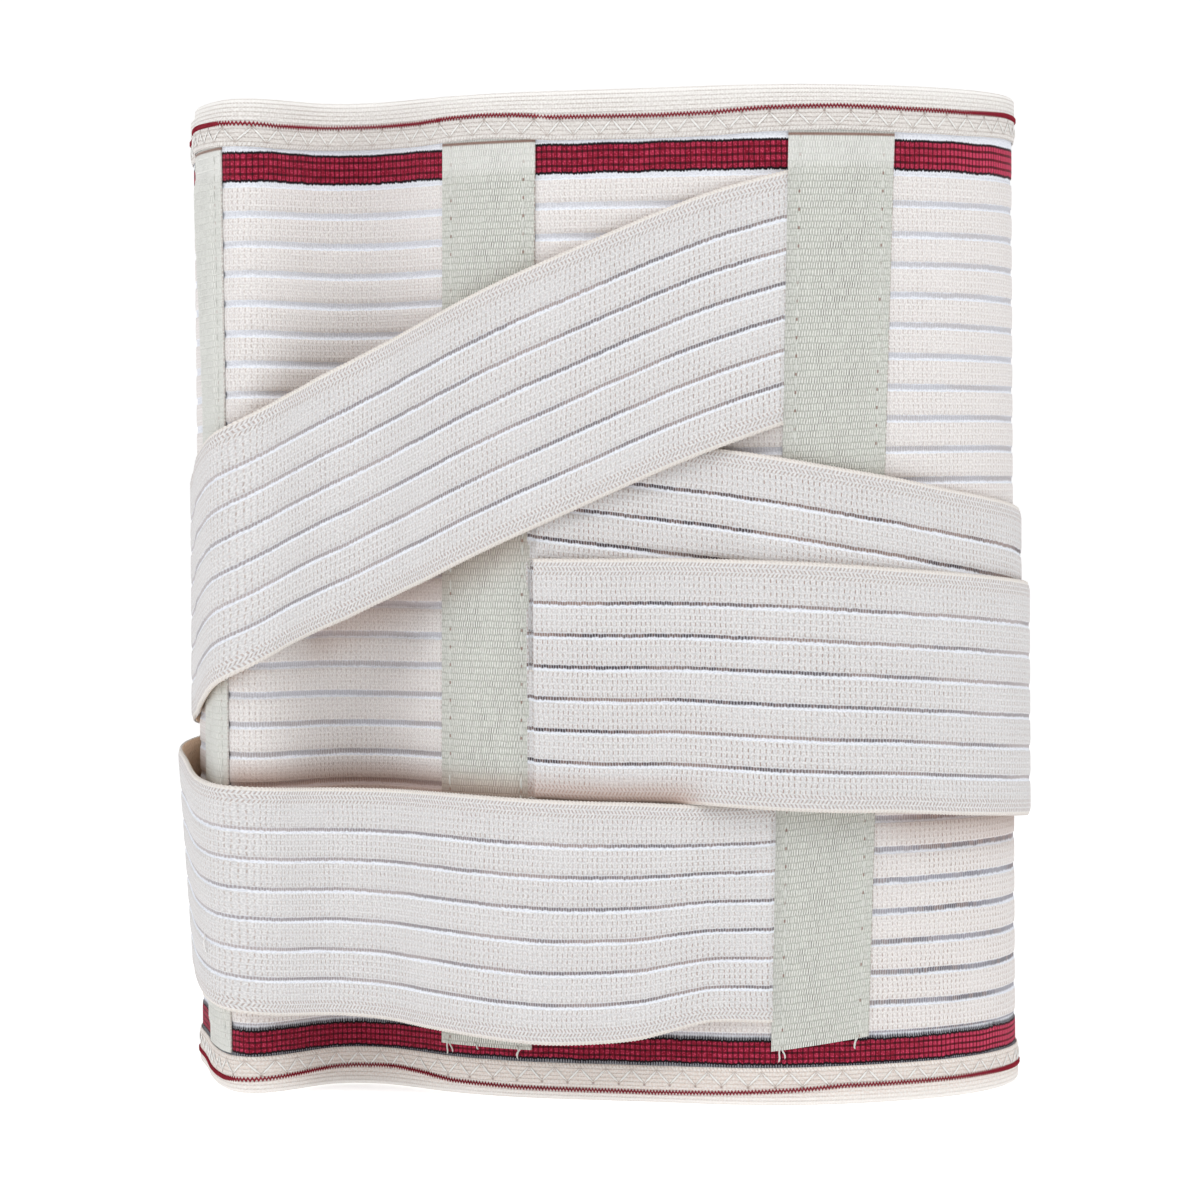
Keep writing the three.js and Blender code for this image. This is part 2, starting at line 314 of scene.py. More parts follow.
class Body:
    """The plan that all the pieces are wrapped on."""

    def __init__(self) -> None:
        """Lay out the panel's wall and the girth, and find the spine line."""
        self.curves = {
            Form.WALL: PlanCurve([row.y for row in PLAN]),
            Form.GIRTH: PlanCurve([row.taut for row in PLAN]),
        }
        wall = self.curves[Form.WALL]
        self.t, self.length = wall.lengths()
        x = wall.points(self.t)[:, 0]
        past = np.arange(len(x)) > (len(x) - 1) / 2
        self.spine = self.length[np.flatnonzero(past & (x >= SPINE_X))[0]]

    @property
    def start(self) -> float:
        """Place of the panel's inner end."""
        return -self.spine

    @property
    def end(self) -> float:
        """Place of the panel's outer end."""
        return self.length[-1] - self.spine

    def on(self, form: Form, along: Array, height: Array, out: Array) -> Array:
        """Points that stand off the plan.

        Args:
            form: which plan they follow.
            along: places along the panel, in millimetres from the spine line.
            height: heights over the floor.
            out: distances outward.

        Returns:
            One row of x, y and z for each point, in metres.
        """
        t = np.interp(along + self.spine, self.length, self.t)
        curve = self.curves[form]
        if form is Form.WALL:
            out = out + self.flare(along, height)
        flat = curve.points(t) + curve.outward(t) * out[:, None] + np.array(PLAN_OFFSET)
        return np.column_stack([flat, height]) * MM

    @staticmethod
    def flare(along: Array, height: Array) -> Array:
        """How far the wall stands out of its plan where the stiff left casing bends it.

        Args:
            along: places along the panel.
            height: heights on it.

        Returns:
            The distance outward.
        """
        near = np.exp(-((along + 158) / 17) ** 2)
        return near * (0.7 + 1.9 * smooth_step(height, 188, 262))

    def stops(self, form: Form, start: float, end: float, sag: float, longest: float) -> Array:
        """Places that cut a run into short chords, closer together where it bends.

        Args:
            form: which plan the run follows.
            start: place where the run starts.
            end: place where it ends.
            sag: deepest sag of the curve behind a chord.
            longest: longest chord.

        Returns:
            The places, from start to end.
        """
        fine = np.linspace(start, end, max(int((end - start) / 0.5), 8))
        t = np.interp(fine + self.spine, self.length, self.t)
        facing = self.curves[form].outward(t)
        turn = np.arccos(np.clip((facing[1:] * facing[:-1]).sum(axis=1), -1, 1))
        radius = np.diff(fine) / np.maximum(turn, 1e-6)
        chord = np.minimum(np.sqrt(8 * radius * sag), longest)
        share = np.concatenate([[0.0], np.cumsum(np.diff(fine) / chord)])
        return np.interp(np.linspace(0, share[-1], math.ceil(share[-1]) + 1), share, fine)


BRACE = Body()


def smooth_step(value: Array, low: float, high: float) -> Array:
    """A soft step from 0 at low to 1 at high.

    Args:
        value: where to read it.
        low: where it starts.
        high: where it ends.

    Returns:
        The step at each value.
    """
    share = np.clip((value - low) / (high - low), 0, 1)
    return share * share * (3 - 2 * share)


def column_at(rows: Sequence[StrapRow], column: str, along: Array) -> Array:
    """A column of a strap's table, on a smooth curve through its rows.

    Args:
        rows: the strap's sections.
        column: name of the column.
        along: places to read it at.

    Returns:
        The column's value at each place.
    """
    place = np.array([row.along for row in rows], float)
    value = np.array([getattr(row, column) for row in rows], float)
    last = len(rows) - 1
    before = np.maximum(np.arange(last + 1) - 1, 0)
    after = np.minimum(np.arange(last + 1) + 1, last)
    slope = (value[after] - value[before]) / (place[after] - place[before])
    k = np.clip(np.searchsorted(place, along) - 1, 0, last - 1)
    span = place[k + 1] - place[k]
    f = (along - place[k]) / span
    rise = f * f * (3 - 2 * f)
    leave = f * (1 - f) ** 2 * span * slope[k]
    arrive = f * f * (f - 1) * span * slope[k + 1]
    return value[k] + (value[k + 1] - value[k]) * rise + leave + arrive


def finish_mesh(name: str, bm: bmesh.types.BMesh, material: bpy.types.Material,
                sharp_deg: float = 50.0) -> bpy.types.Object:
    """Turn a worked mesh into an object of the scene.

    Args:
        name: name of the piece.
        bm: the worked mesh, which is freed.
        material: its finish.
        sharp_deg: angle over which an edge stays crisp.

    Returns:
        The new object, at the origin.
    """
    bmesh.ops.recalc_face_normals(bm, faces=bm.faces[:])
    for face in bm.faces:
        face.smooth = True
    mesh = bpy.data.meshes.new(name)
    bm.to_mesh(mesh)
    bm.free()
    mesh.set_sharp_from_angle(angle=math.radians(sharp_deg))
    mesh.materials.append(material)
    piece = bpy.data.objects.new(name, mesh)
    bpy.context.scene.collection.objects.link(piece)
    return piece


UV_CLOTH = "cloth"
# Mesh attribute: how dark a piece's slits look, the painted shade seen through them; the inner side holds
# INNER
SLIT_SHADE = "open"
INNER = -1.0
# Painted shade: a warm shade painted into the cloth's colour just above the lower left strap's upper edge and
# just under the lower edges of two other straps
NOOK = "nook"
NOOK_DEPTH = 0.65
NOOK_REACH = 9.0
UNDER_DEPTH = 0.35
UNDER_REACH = 14.0
HIDDEN_RUN = 12.0  # how far the shade goes on behind a strap's edge
# Runs of the panel that a strap shades below its lower edge: from and to, along it
SHADED_UNDER = {"strap_upper_left": (-115, -40), "strap_lower_right": (60, 125)}


def nook(along: Array, height: Array) -> Array:
    """How far cloth is shaded where it runs down behind the upper edge of the lower left strap.

    Args:
        along: places along the panel.
        height: heights on it.

    Returns:
        A share from 0 to 1 at each place.
    """
    rows = STRAPS["strap_lower_left"]
    over = height - column_at(rows, "top", np.clip(along, rows[0].along, rows[-1].along))
    behind = smooth_step(along, -142, -130) * (1 - smooth_step(along, 8, 18))
    return NOOK_DEPTH * behind * (1 - smooth_step(over, 0, NOOK_REACH)) * (over > -HIDDEN_RUN)


def shade(along: Array, height: Array) -> Array:
    """How far the panel and its casings are shaded above one strap and under two others.

    Args:
        along: places along the panel.
        height: heights on it.

    Returns:
        A share from 0 to 1 at each place.
    """
    total = nook(along, height)
    for name, (first, last) in SHADED_UNDER.items():
        rows = STRAPS[name]
        under = column_at(rows, "bottom", np.clip(along, rows[0].along, rows[-1].along)) - height
        beneath = smooth_step(along, first, first + 10) * (1 - smooth_step(along, last, last + 20))
        near = (1 - smooth_step(under, 0, UNDER_REACH)) * (under > -HIDDEN_RUN)
        total = np.maximum(total, UNDER_DEPTH * beneath * near)
    return total


def woven_slab(name: str, runs: Array, crosses: Array, place: Place, material: bpy.types.Material,
               slit_shading: Union[Callable[[Array, Array], Array], None] = None,
               nooks: Union[Callable[[Array, Array], Array], None] = None) -> bpy.types.Object:
    """A closed slab of cloth: a grid with an outer and an inner side, each point moved to its place.

    Args:
        name: name of the piece.
        runs: stops along the cloth, in millimetres.
        crosses: stops across it.
        place: gives points in metres from runs, crosses and sides, 1 outside and 0 inside.
        material: its finish, which reads runs and crosses from the cloth map.
        slit_shading: gives how dark the slits look, the painted shade seen through them, from runs and
            crosses; the inner side takes INNER.
        nooks: gives how much painted shade the outer side takes, from runs and crosses.

    Returns:
        The piece.
    """
    bm = bmesh.new()
    counts = len(runs) - 1, len(crosses) - 1
    bmesh.ops.create_grid(bm, x_segments=counts[0], y_segments=counts[1], size=0.5)
    made = bmesh.ops.extrude_face_region(bm, geom=bm.faces[:])
    inner = [item for item in made["geom"] if isinstance(item, bmesh.types.BMVert)]
    bmesh.ops.translate(bm, verts=inner, vec=Vector((0, 0, -1)))
    flat = np.array([vert.co for vert in bm.verts])
    run = runs[np.rint((flat[:, 0] + 0.5) * counts[0]).astype(int)]
    cross = crosses[np.rint((flat[:, 1] + 0.5) * counts[1]).astype(int)]
    side = 1.0 + flat[:, 2]
    for vert, point in zip(bm.verts, place(run, cross, side)):
        vert.co = point
    bm.verts.index_update()
    layer = bm.loops.layers.uv.new(UV_CLOTH)
    for face in bm.faces:
        for loop in face.loops:
            loop[layer].uv = run[loop.vert.index], cross[loop.vert.index]
    piece = finish_mesh(name, bm, material)
    if slit_shading is not None:
        share = np.where(side > 0.5, slit_shading(run, cross), INNER)
        piece.data.attributes.new(SLIT_SHADE, "FLOAT", "POINT").data.foreach_set("value", share)
    if nooks is not None:
        share = np.where(side > 0.5, nooks(run, cross), 0.0)
        piece.data.attributes.new(NOOK, "FLOAT", "POINT").data.foreach_set("value", share)
    return piece


def ribbon(bm: bmesh.types.BMesh, path: Array, lift: Array, width: float, height: float, sides: int = 4,
           swell: Union[Array, None] = None) -> None:
    """Add a thread that lies along a path, as a flattened tube with closed ends.

    Args:
        bm: the mesh that it is added to.
        path: points of its middle line, in metres.
        lift: the direction away from the cloth at each point.
        width: its width, in metres.
        height: its height, in metres.
        sides: facets round it.
        swell: share of its size at each point, whole by default.
    """
    if swell is None:
        swell = np.ones(len(path))
    count = len(path) - 1
    made = bmesh.ops.create_grid(bm, x_segments=count, y_segments=sides, size=0.5)
    tangent = np.gradient(path, axis=0)
    tangent /= np.linalg.norm(tangent, axis=1)[:, None]
    aside = np.cross(lift, tangent)
    aside /= np.linalg.norm(aside, axis=1)[:, None]
    up = np.cross(tangent, aside)
    for vert in made["verts"]:
        i = round((vert.co.x + 0.5) * count)
        turn = math.tau * round((vert.co.y + 0.5) * sides) / sides
        taper = 0.0 if i in (0, count) else swell[i]
        wide, high = math.cos(turn) * width / 2 * taper, math.sin(turn) * height / 2 * taper
        vert.co = Vector(path[i] + aside[i] * wide + up[i] * high)
    bmesh.ops.remove_doubles(bm, verts=made["verts"], dist=1e-7)


Number = Union["Field", float]


class Field:
    """A value that varies over a surface. Sums of fields become shader nodes."""

    def __init__(self, bench: "Bench", socket: bpy.types.NodeSocket) -> None:
        """Hold a socket of a bench.

        Args:
            bench: the bench whose nodes make the value.
            socket: the output that gives it.
        """
        self.bench = bench
        self.socket = socket

    def __add__(self, other: Number) -> "Field":
        """The sum of two values."""
        return self.bench.math("ADD", self, other)

    def __sub__(self, other: Number) -> "Field":
        """The difference of two values."""
        return self.bench.math("SUBTRACT", self, other)

    def __rsub__(self, other: Number) -> "Field":
        """A number less this value."""
        return self.bench.math("SUBTRACT", other, self)

    def __mul__(self, other: Number) -> "Field":
        """The product of two values."""
        return self.bench.math("MULTIPLY", self, other)

    __radd__ = __add__
    __rmul__ = __mul__

    def __truediv__(self, other: Number) -> "Field":
        """The quotient of two values."""
        return self.bench.math("DIVIDE", self, other)

    def __abs__(self) -> "Field":
        """The value without its sign."""
        return self.bench.math("ABSOLUTE", self)

    def fract(self) -> "Field":
        """The part after the point."""
        return self.bench.math("FRACT", self)

    def floor(self) -> "Field":
        """The whole part."""
        return self.bench.math("FLOOR", self)

    def sine(self) -> "Field":
        """The sine of the value."""
        return self.bench.math("SINE", self)

    def off_centre(self) -> "Field":
        """How far the part after the point lies from a half, from 0 to a half."""
        return abs(self.fract() - 0.5)

    def step(self, low: float, high: float) -> "Field":
        """A soft step from 0 at low to 1 at high, or falling where low is the larger.

        Args:
            low: value that gives 0.
            high: value that gives 1.

        Returns:
            The step.
        """
        node = self.bench.node("ShaderNodeMapRange")
        node.interpolation_type = "SMOOTHSTEP"
        self.bench.feed(node.inputs["Value"], self)
        node.inputs["From Min"].default_value = low
        node.inputs["From Max"].default_value = high
        return Field(self.bench, node.outputs["Result"])


class Bench:
    """A material with the nodes that make its colour, roughness and relief."""

    def __init__(self, name: str, roughness: float, sheen: float) -> None:
        """Start a material with one surface shader.

        Args:
            name: name of the material.
            roughness: its roughness.
            sheen: weight of its soft sheen.
        """
        self.material = bpy.data.materials.new(name)
        self.material.use_nodes = True
        self.tree = self.material.node_tree
        self.surface = self.tree.nodes["Principled BSDF"]
        self.surface.inputs["Roughness"].default_value = roughness
        self.surface.inputs["Sheen Weight"].default_value = sheen
        self.surface.inputs["Sheen Roughness"].default_value = 0.5
        self.surface.inputs["Specular IOR Level"].default_value = 0.25

    def node(self, kind: str) -> bpy.types.Node:
        """A new node of a kind."""
        return self.tree.nodes.new(kind)

    def feed(self, socket: bpy.types.NodeSocket, value: Number) -> None:
        """Set an input to a number, or link it to a field."""
        if isinstance(value, Field):
            self.tree.links.new(value.socket, socket)
        else:
            socket.default_value = value

    def math(self, operation: str, first: Number, second: Number = 0.0) -> Field:
        """A sum of one or two values.

        Args:
            operation: name of the sum.
            first: its first value.
            second: its second value, where it has one.

        Returns:
            The result.
        """
        node = self.node("ShaderNodeMath")
        node.operation = operation
        self.feed(node.inputs[0], first)
        self.feed(node.inputs[1], second)
        return Field(self, node.outputs[0])

    def cloth(self) -> tuple[Field, Field]:
        """Places along and across the cloth, in millimetres.

        Returns:
            The two fields.
        """
        node = self.node("ShaderNodeUVMap")
        node.uv_map = UV_CLOTH
        split = self.node("ShaderNodeSeparateXYZ")
        self.tree.links.new(node.outputs["UV"], split.inputs[0])
        return Field(self, split.outputs[0]), Field(self, split.outputs[1])

    def attribute(self, name: str) -> Field:
        """A value that the mesh holds at its points."""
        node = self.node("ShaderNodeAttribute")
        node.attribute_name = name
        return Field(self, node.outputs["Fac"])

    def at(self, first: Number, second: Number) -> bpy.types.NodeSocket:
        """A vector socket of two values."""
        node = self.node("ShaderNodeCombineXYZ")
        self.feed(node.inputs[0], first)
        self.feed(node.inputs[1], second)
        return node.outputs[0]

    def noise(self, first: Number, second: Number, detail: float = 0.0) -> Field:
        """Soft noise of two places, one bump for each whole step, from 0 to 1.

        Args:
            first: the first place.
            second: the second place.
            detail: how many finer layers it has.

        Returns:
            The noise.
        """
        node = self.node("ShaderNodeTexNoise")
        node.noise_dimensions = "2D"
        node.inputs["Scale"].default_value = 1.0
        node.inputs["Detail"].default_value = detail
        self.tree.links.new(self.at(first, second), node.inputs["Vector"])
        return Field(self, node.outputs["Fac"])

    def chance(self, first: Number, second: Number) -> Field:
        """A fixed random value for each pair of whole numbers."""
        node = self.node("ShaderNodeTexWhiteNoise")
        node.noise_dimensions = "2D"
        self.tree.links.new(self.at(first, second), node.inputs["Vector"])
        return Field(self, node.outputs["Value"])

    def blend(self, share: Number, first: Union[Colour, Field], second: Union[Colour, Field]) -> Field:
        """A colour between two colours.

        Args:
            share: how much of the second it takes.
            first: the first colour.
            second: the second colour.

        Returns:
            The colour.
        """
        node = self.node("ShaderNodeMix")
        node.data_type = "RGBA"
        self.feed(node.inputs[0], share)
        for socket, colour in ((node.inputs[6], first), (node.inputs[7], second)):
            self.feed(socket, colour if isinstance(colour, Field) else (*colour, 1.0))
        return Field(self, node.outputs[2])

    def dress(self, colour: Field, relief: Field, depth_mm: float) -> bpy.types.Material:
        """Give the surface its colour and relief.

        Args:
            colour: its colour.
            relief: its relief, from 0 to 1.
            depth_mm: depth of the relief in millimetres.

        Returns:
            The material.
        """
        bump = self.node("ShaderNodeBump")
        bump.inputs["Strength"].default_value = 1.0
        bump.inputs["Distance"].default_value = depth_mm * MM
        self.feed(bump.inputs["Height"], relief)
        self.feed(self.surface.inputs["Base Color"], colour)
        self.tree.links.new(bump.outputs["Normal"], self.surface.inputs["Normal"])
        return self.material


@dataclass(frozen=True)
class RibbedElastic:
    """Ribbed elastic: knitted ribs with rows of small eyelets, and open slits between white yarns."""

    name: str
    first_groove: float
    last_groove: float
    pitch: float
    eyelet_pitch: float = 1.46
    eyelet_rows: int = 4
    selvage: float = 0.0
    width: float = 0.0
    slit: float = 1.7
    gap_at: float = 0.4
    gap: float = 0.95
    thread_pitch: float = 0.74
    rib_tone: Colour = tone(208, 207, 208)
    rib_light: Colour = tone(229, 228, 228)
    eyelet_tone: Colour = tone(152, 116, 96)
    eyelet_depth: float = 0.72
    brim_tone: Colour = tone(232, 226, 219)
    yarn_tone: Colour = tone(235, 238, 245)
    yarn_shade: Colour = tone(212, 215, 224)
    # Painted shade seen through the open slits
    slit_shade_tone: Colour = tone(62, 50, 54)
    slit_warm_shade: Colour = tone(122, 98, 90)
    slit_faded_shade: Colour = tone(166, 144, 134)
    inner_colour_and_warm_shade: Colour = tone(244, 212, 182)
    painted_nook_shade: Colour = tone(168, 130, 110)

    def from_slit(self, across: Field) -> Field:
        """Distance from the middle of the nearest slit.

        Args:
            across: places across the cloth.

        Returns:
            The distance, upward as plus.
        """
        return (((across - self.first_groove) / self.pitch + 0.5).fract() - 0.5) * self.pitch

    def slits(self, bench: Bench, along: Field, across: Field) -> tuple[Field, Field]:
        """Colour and relief of the white yarns and the open gap between them, with the painted shade seen
        through the gap.

        Args:
            bench: the bench that they are made on.
            along: places along the cloth.
            across: places across it.

        Returns:
            The colour and the relief.
        """
        number = ((across - self.first_groove) / self.pitch + 0.5).floor()
        ragged = bench.noise(along * 1.5, number * 5.1) - 0.5
        sway = bench.noise(along * 0.1, number * 2.3) - 0.5
        pull = bench.noise(along * 0.04, number * 3.7).step(0.3, 0.6)
        rung = (along / self.thread_pitch + sway * 2.0).off_centre().step(0.08, 0.32)
        place = self.from_slit(across) - self.gap_at + ragged * 0.5 + sway * 0.4
        gap = abs(place).step(self.gap * 0.8, self.gap * 0.3)
        thread = bench.noise(along * 1.6, across * 2.6)
        yarn = bench.blend(thread.step(0.35, 0.75) * 0.7, self.yarn_tone, self.yarn_shade)
        warmth = bench.noise(along * 0.5, number * 9.1).step(0.45, 0.65)
        deep = bench.blend(warmth * 0.7, self.slit_shade_tone, self.slit_warm_shade)
        # Painted shade seen through the gap, as deep as the piece's attribute says
        wide = bench.attribute(SLIT_SHADE)
        deep = bench.blend(wide.step(0.95, 0.65) * 0.8, deep, self.slit_warm_shade)
        deep = bench.blend((1.0 - pull) * 0.7, deep, self.slit_faded_shade)
        dark = gap * (rung * 0.4 + 0.6) * wide
        return bench.blend(dark, yarn, deep), 0.45 + thread * 0.2 - gap * rung * 0.4

    def ribs(self, bench: Bench, along: Field, across: Field) -> tuple[Field, Field]:
        """Colour and relief of the ribs.

        Args:
            bench: the bench that they are made on.
            along: places along the cloth.
            across: places across it.

        Returns:
            The colour and the relief.
        """
        drift = bench.noise(along * 0.11, across * 0.4 + 5.0) - 0.5
        row_pitch = (self.pitch - self.slit) / self.eyelet_rows
        over = ((across - self.first_groove) / self.pitch).fract() * self.pitch - self.slit / 2
        rows = over / row_pitch
        columns = along / self.eyelet_pitch + drift * 0.4
        luck = bench.chance(columns.floor(), (across / row_pitch).floor())
        eyelet = columns.off_centre().step(0.16, 0.06) * rows.off_centre().step(0.36, 0.22)
        patchy = bench.noise(along * 0.05, across * 0.05 + 7.0).step(0.2, 0.6)
        eyelet = eyelet * (luck * 0.5 + 0.5) * (patchy * 0.4 + 0.6)
        fleck = bench.noise(along * 1.9, across * 1.7)
        loop = (along / self.thread_pitch + rows.floor() * 0.5).off_centre().step(0.15, 0.4)
        loop = loop * (across / 0.85).off_centre().step(0.1, 0.4)
        colour = bench.blend(fleck.step(0.3, 0.7) * 0.8 + loop * -0.3, self.rib_tone, self.rib_light)
        colour = bench.blend(loop * 0.1, colour, self.eyelet_tone)
        # Painted shade seen through the eyelets, deeper where the slits are shaded
        eyelet_shading = bench.attribute(SLIT_SHADE).step(0.5, 1.0) * 0.5 + 0.5
        colour = bench.blend(eyelet * eyelet_shading * self.eyelet_depth, colour, self.eyelet_tone)
        relief = fleck * 0.25 + 0.6 - eyelet * 0.5 - loop * 0.2
        if self.selvage:
            edge = abs(across - self.width / 2) - self.width / 2 + self.selvage
            course = edge / 1.3
            way = (course.floor() * 0.5).fract() * 4.0 - 1.0
            tick = (along / 1.02 + way * edge * 0.5).off_centre().step(0.3, 0.1)
            tick = tick * course.off_centre().step(0.46, 0.26)
            woven = bench.blend(fleck.step(0.3, 0.7) * 0.8, self.rib_tone, self.rib_light)
            woven = bench.blend(tick * 0.5, woven, self.eyelet_tone)
            brim = edge.step(self.selvage - 1.0, self.selvage - 0.6)
            woven = bench.blend(brim * 0.7, woven, self.brim_tone)
            on_edge = edge.step(-0.3, 0.3)
            colour = bench.blend(on_edge, colour, woven)
            relief = relief * (1.0 - on_edge) + on_edge * (0.7 - tick * 0.45)
        return colour, relief

    def layers(self, bench: Bench) -> tuple[Field, Field]:
        """Colour and relief of the whole cloth.

        Args:
            bench: the bench that they are made on.

        Returns:
            The colour and the relief.
        """
        along, across = bench.cloth()
        inside = across.step(self.first_groove - 2.2, self.first_groove - 2.0)
        inside = inside * across.step(self.last_groove + 2.2, self.last_groove + 2.0)
        ragged = bench.noise(along * 0.9, across * 0.3) - 0.5
        in_slit = abs(self.from_slit(across) + ragged * 0.3).step(self.slit * 0.58, self.slit * 0.46) * inside
        colour, relief = self.ribs(bench, along, across)
        yarn, sunk = self.slits(bench, along, across)
        colour = bench.blend(in_slit, colour, yarn)
        # Painted shade where the cloth lies by a strap's edge
        colour = bench.blend(bench.attribute(NOOK), colour, self.painted_nook_shade)
        # Inner faces: the panel's own colour, and on the straps a painted warm shade seen inside their loops
        colour = bench.blend(bench.attribute(SLIT_SHADE).step(-0.3, -0.7), colour, self.inner_colour_and_warm_shade)
        return colour, relief * (1.0 - in_slit) + in_slit * sunk

    def make(self) -> bpy.types.Material:
        """The finished material."""
        bench = Bench(self.name, 0.9, 0.05)
        colour, relief = self.layers(bench)
        return bench.dress(colour, relief, 0.25)


@dataclass(frozen=True)
class BandedElastic(RibbedElastic):
    """Ribbed elastic with a coloured woven band near each edge, set between plain white yarns."""

    bands: tuple[tuple[float, float, float], ...] = ((11.2, 17.9, 1.5), (256.9, 265.0, 0.35))
    rows_in_band: int = 4
    cell_pitch: float = 1.46
    band_tone: Colour = tone(128, 8, 36)
    band_pale_and_lit: Colour = tone(214, 70, 104)
    band_sheen: Colour = tone(230, 110, 136)
    band_seam: Colour = tone(72, 6, 24)
    band_dark: Colour = tone(18, 8, 14)
    fringe_tone: Colour = tone(48, 46, 54)

    def make(self) -> bpy.types.Material:
        """The finished material."""
        bench = Bench(self.name, 0.9, 0.05)
        colour, relief = self.layers(bench)
        along, across = bench.cloth()
        thread = bench.noise(along * 1.6, across * 2.6)
        yarn = bench.blend(thread.step(0.35, 0.75) * 0.6, self.yarn_tone, self.yarn_shade)
        outside = across.step(self.last_groove - 0.6, self.last_groove)
        outside = outside + across.step(self.first_groove + 0.6, self.first_groove)
        colour = bench.blend(outside, colour, yarn)
        fray = (bench.noise(along * 2.3, across * 0.2) - 0.5) * 0.6
        wander = (bench.noise(along * 0.12, 3.0) - 0.5) * 0.5
        tick = (along / self.thread_pitch).off_centre().step(0.1, 0.4)
        sheen = 0.0
        for low, high, fringe in self.bands:
            row = (across + wander - low) / (high - low) * self.rows_in_band
            edge = abs(across + wander + fray - (low + high) / 2) - (high - low) / 2
            cell = along / self.cell_pitch + wander * 0.4
            luck = bench.chance(cell.floor(), row.floor() + low)
            line = row.off_centre().step(0.26, 0.4)
            upright = cell.off_centre().step(0.28, 0.48)
            pillow = (1.0 - line) * (1.0 - upright)
            # Random lighter cells, with painted glints on their pillows
            glint = bench.noise(along * 2.4, across * 2.0).step(0.45, 0.75)
            cloth = bench.blend((luck * 0.3 + glint * 0.5) * pillow, self.band_tone, self.band_pale_and_lit)
            # Painted light: the band lighter towards its right end, where it turns to the light
            cloth = bench.blend(along.step(60.0, 105.0) * pillow * 0.6, cloth, self.band_pale_and_lit)
            cloth = bench.blend(upright * 0.75, cloth, self.band_seam)
            dash = bench.chance((cell + 0.5).floor(), (row + 0.5).floor() + 0.3).step(0.05, 0.5)
            cloth = bench.blend(line * (dash * 0.5 + 0.4) * (upright * 0.4 + 0.6), cloth, self.band_dark)
            cloth = bench.blend(edge.step(-0.7, -0.35), cloth, self.band_dark)
            fuzz = edge.step(fringe, fringe * 0.3) * (tick * 0.35 + 0.65)
            colour = bench.blend(fuzz, colour, self.fringe_tone)
            on_band = edge.step(0.2, -0.05)
            colour = bench.blend(on_band, colour, cloth)
            relief = relief * (1.0 - on_band) + on_band * (0.3 + pillow * 0.6)
            sheen = sheen + on_band * 0.15
        bench.surface.inputs["Sheen Tint"].default_value = (*self.band_sheen, 1.0)
        bench.feed(bench.surface.inputs["Sheen Weight"], sheen)
        return bench.dress(colour, relief, 0.25)


@dataclass(frozen=True)
class FoldedTape:
    """Folded elastic tape: fine lengthwise ridges of small loops, with painted shade where it is stitched and
    a painted highlight along its fold.
    """

    name: str
    reach: float
    stitch_from: float
    ridge_depth: float
    tape_tone: Colour
    ridge_pitch: float = 1.1
    loop_pitch: float = 0.78
    tape_pale_and_lit: Colour = tone(241, 239, 236)
    ridge_and_shade_tone: Colour = tone(164, 146, 136)
    corner_tone: Colour = tone(112, 82, 70)

    def make(self) -> bpy.types.Material:
        """The finished material."""
        bench = Bench(self.name, 0.88, 0.08)
        along, across = bench.cloth()
        from_fold = abs(across)
        fleck = bench.noise(along * 1.7, across * 1.7)
        ridges = from_fold / self.ridge_pitch
        loops = along / self.loop_pitch + (ridges.floor() * 0.5).fract() * 0.5
        hollow = ridges.off_centre().step(0.26, 0.46) * (loops.off_centre().step(0.1, 0.4) * 0.7 + 0.3)
        worn = bench.noise(along * 0.06, across * 0.15 + 3.0).step(0.3, 0.7) * 0.5 + 0.5
        colour = bench.blend(fleck.step(0.3, 0.7) * 0.7, self.tape_tone, self.tape_pale_and_lit)
        # Painted highlight along the tape's rounded fold
        colour = bench.blend(from_fold.step(5.0, 0.5) * 0.8, colour, self.tape_pale_and_lit)
        colour = bench.blend(hollow * worn * self.ridge_depth, colour, self.ridge_and_shade_tone)
        brim = from_fold.step(self.reach - 1.2, self.reach - 0.8)
        loop = (along / 1.0 + from_fold * 0.5).off_centre().step(0.3, 0.5)
        colour = bench.blend(brim * loop * 0.45, colour, self.ridge_and_shade_tone)
        # Painted shade over the stitched band, out to the hem
        stitched = from_fold.step(self.reach - STITCH_FAR - 0.8, self.reach - STITCH_FAR) * (1.0 - brim)
        colour = bench.blend(stitched * 0.14, colour, self.ridge_and_shade_tone)
        peak = ((along - self.stitch_from) / (2 * STITCH_STEP) + 0.5).off_centre() * 2.0
        path = self.reach - STITCH_NEAR - peak * (STITCH_FAR - STITCH_NEAR)
        # Painted shadow along the path of the zigzag stitches
        sewn = abs(from_fold - path).step(0.8, 0.3)
        colour = bench.blend(sewn * 0.35, colour, self.ridge_and_shade_tone)
        corner = peak.step(0.84, 0.97) * abs(from_fold - (self.reach - STITCH_FAR - 0.3)).step(0.5, 0.15)
        colour = bench.blend(corner * 0.55, colour, self.corner_tone)
        relief = 0.5 - hollow * 0.45 + fleck * 0.12 - brim * loop * 0.3 + brim * 0.2
        return bench.dress(colour, relief, 0.3)


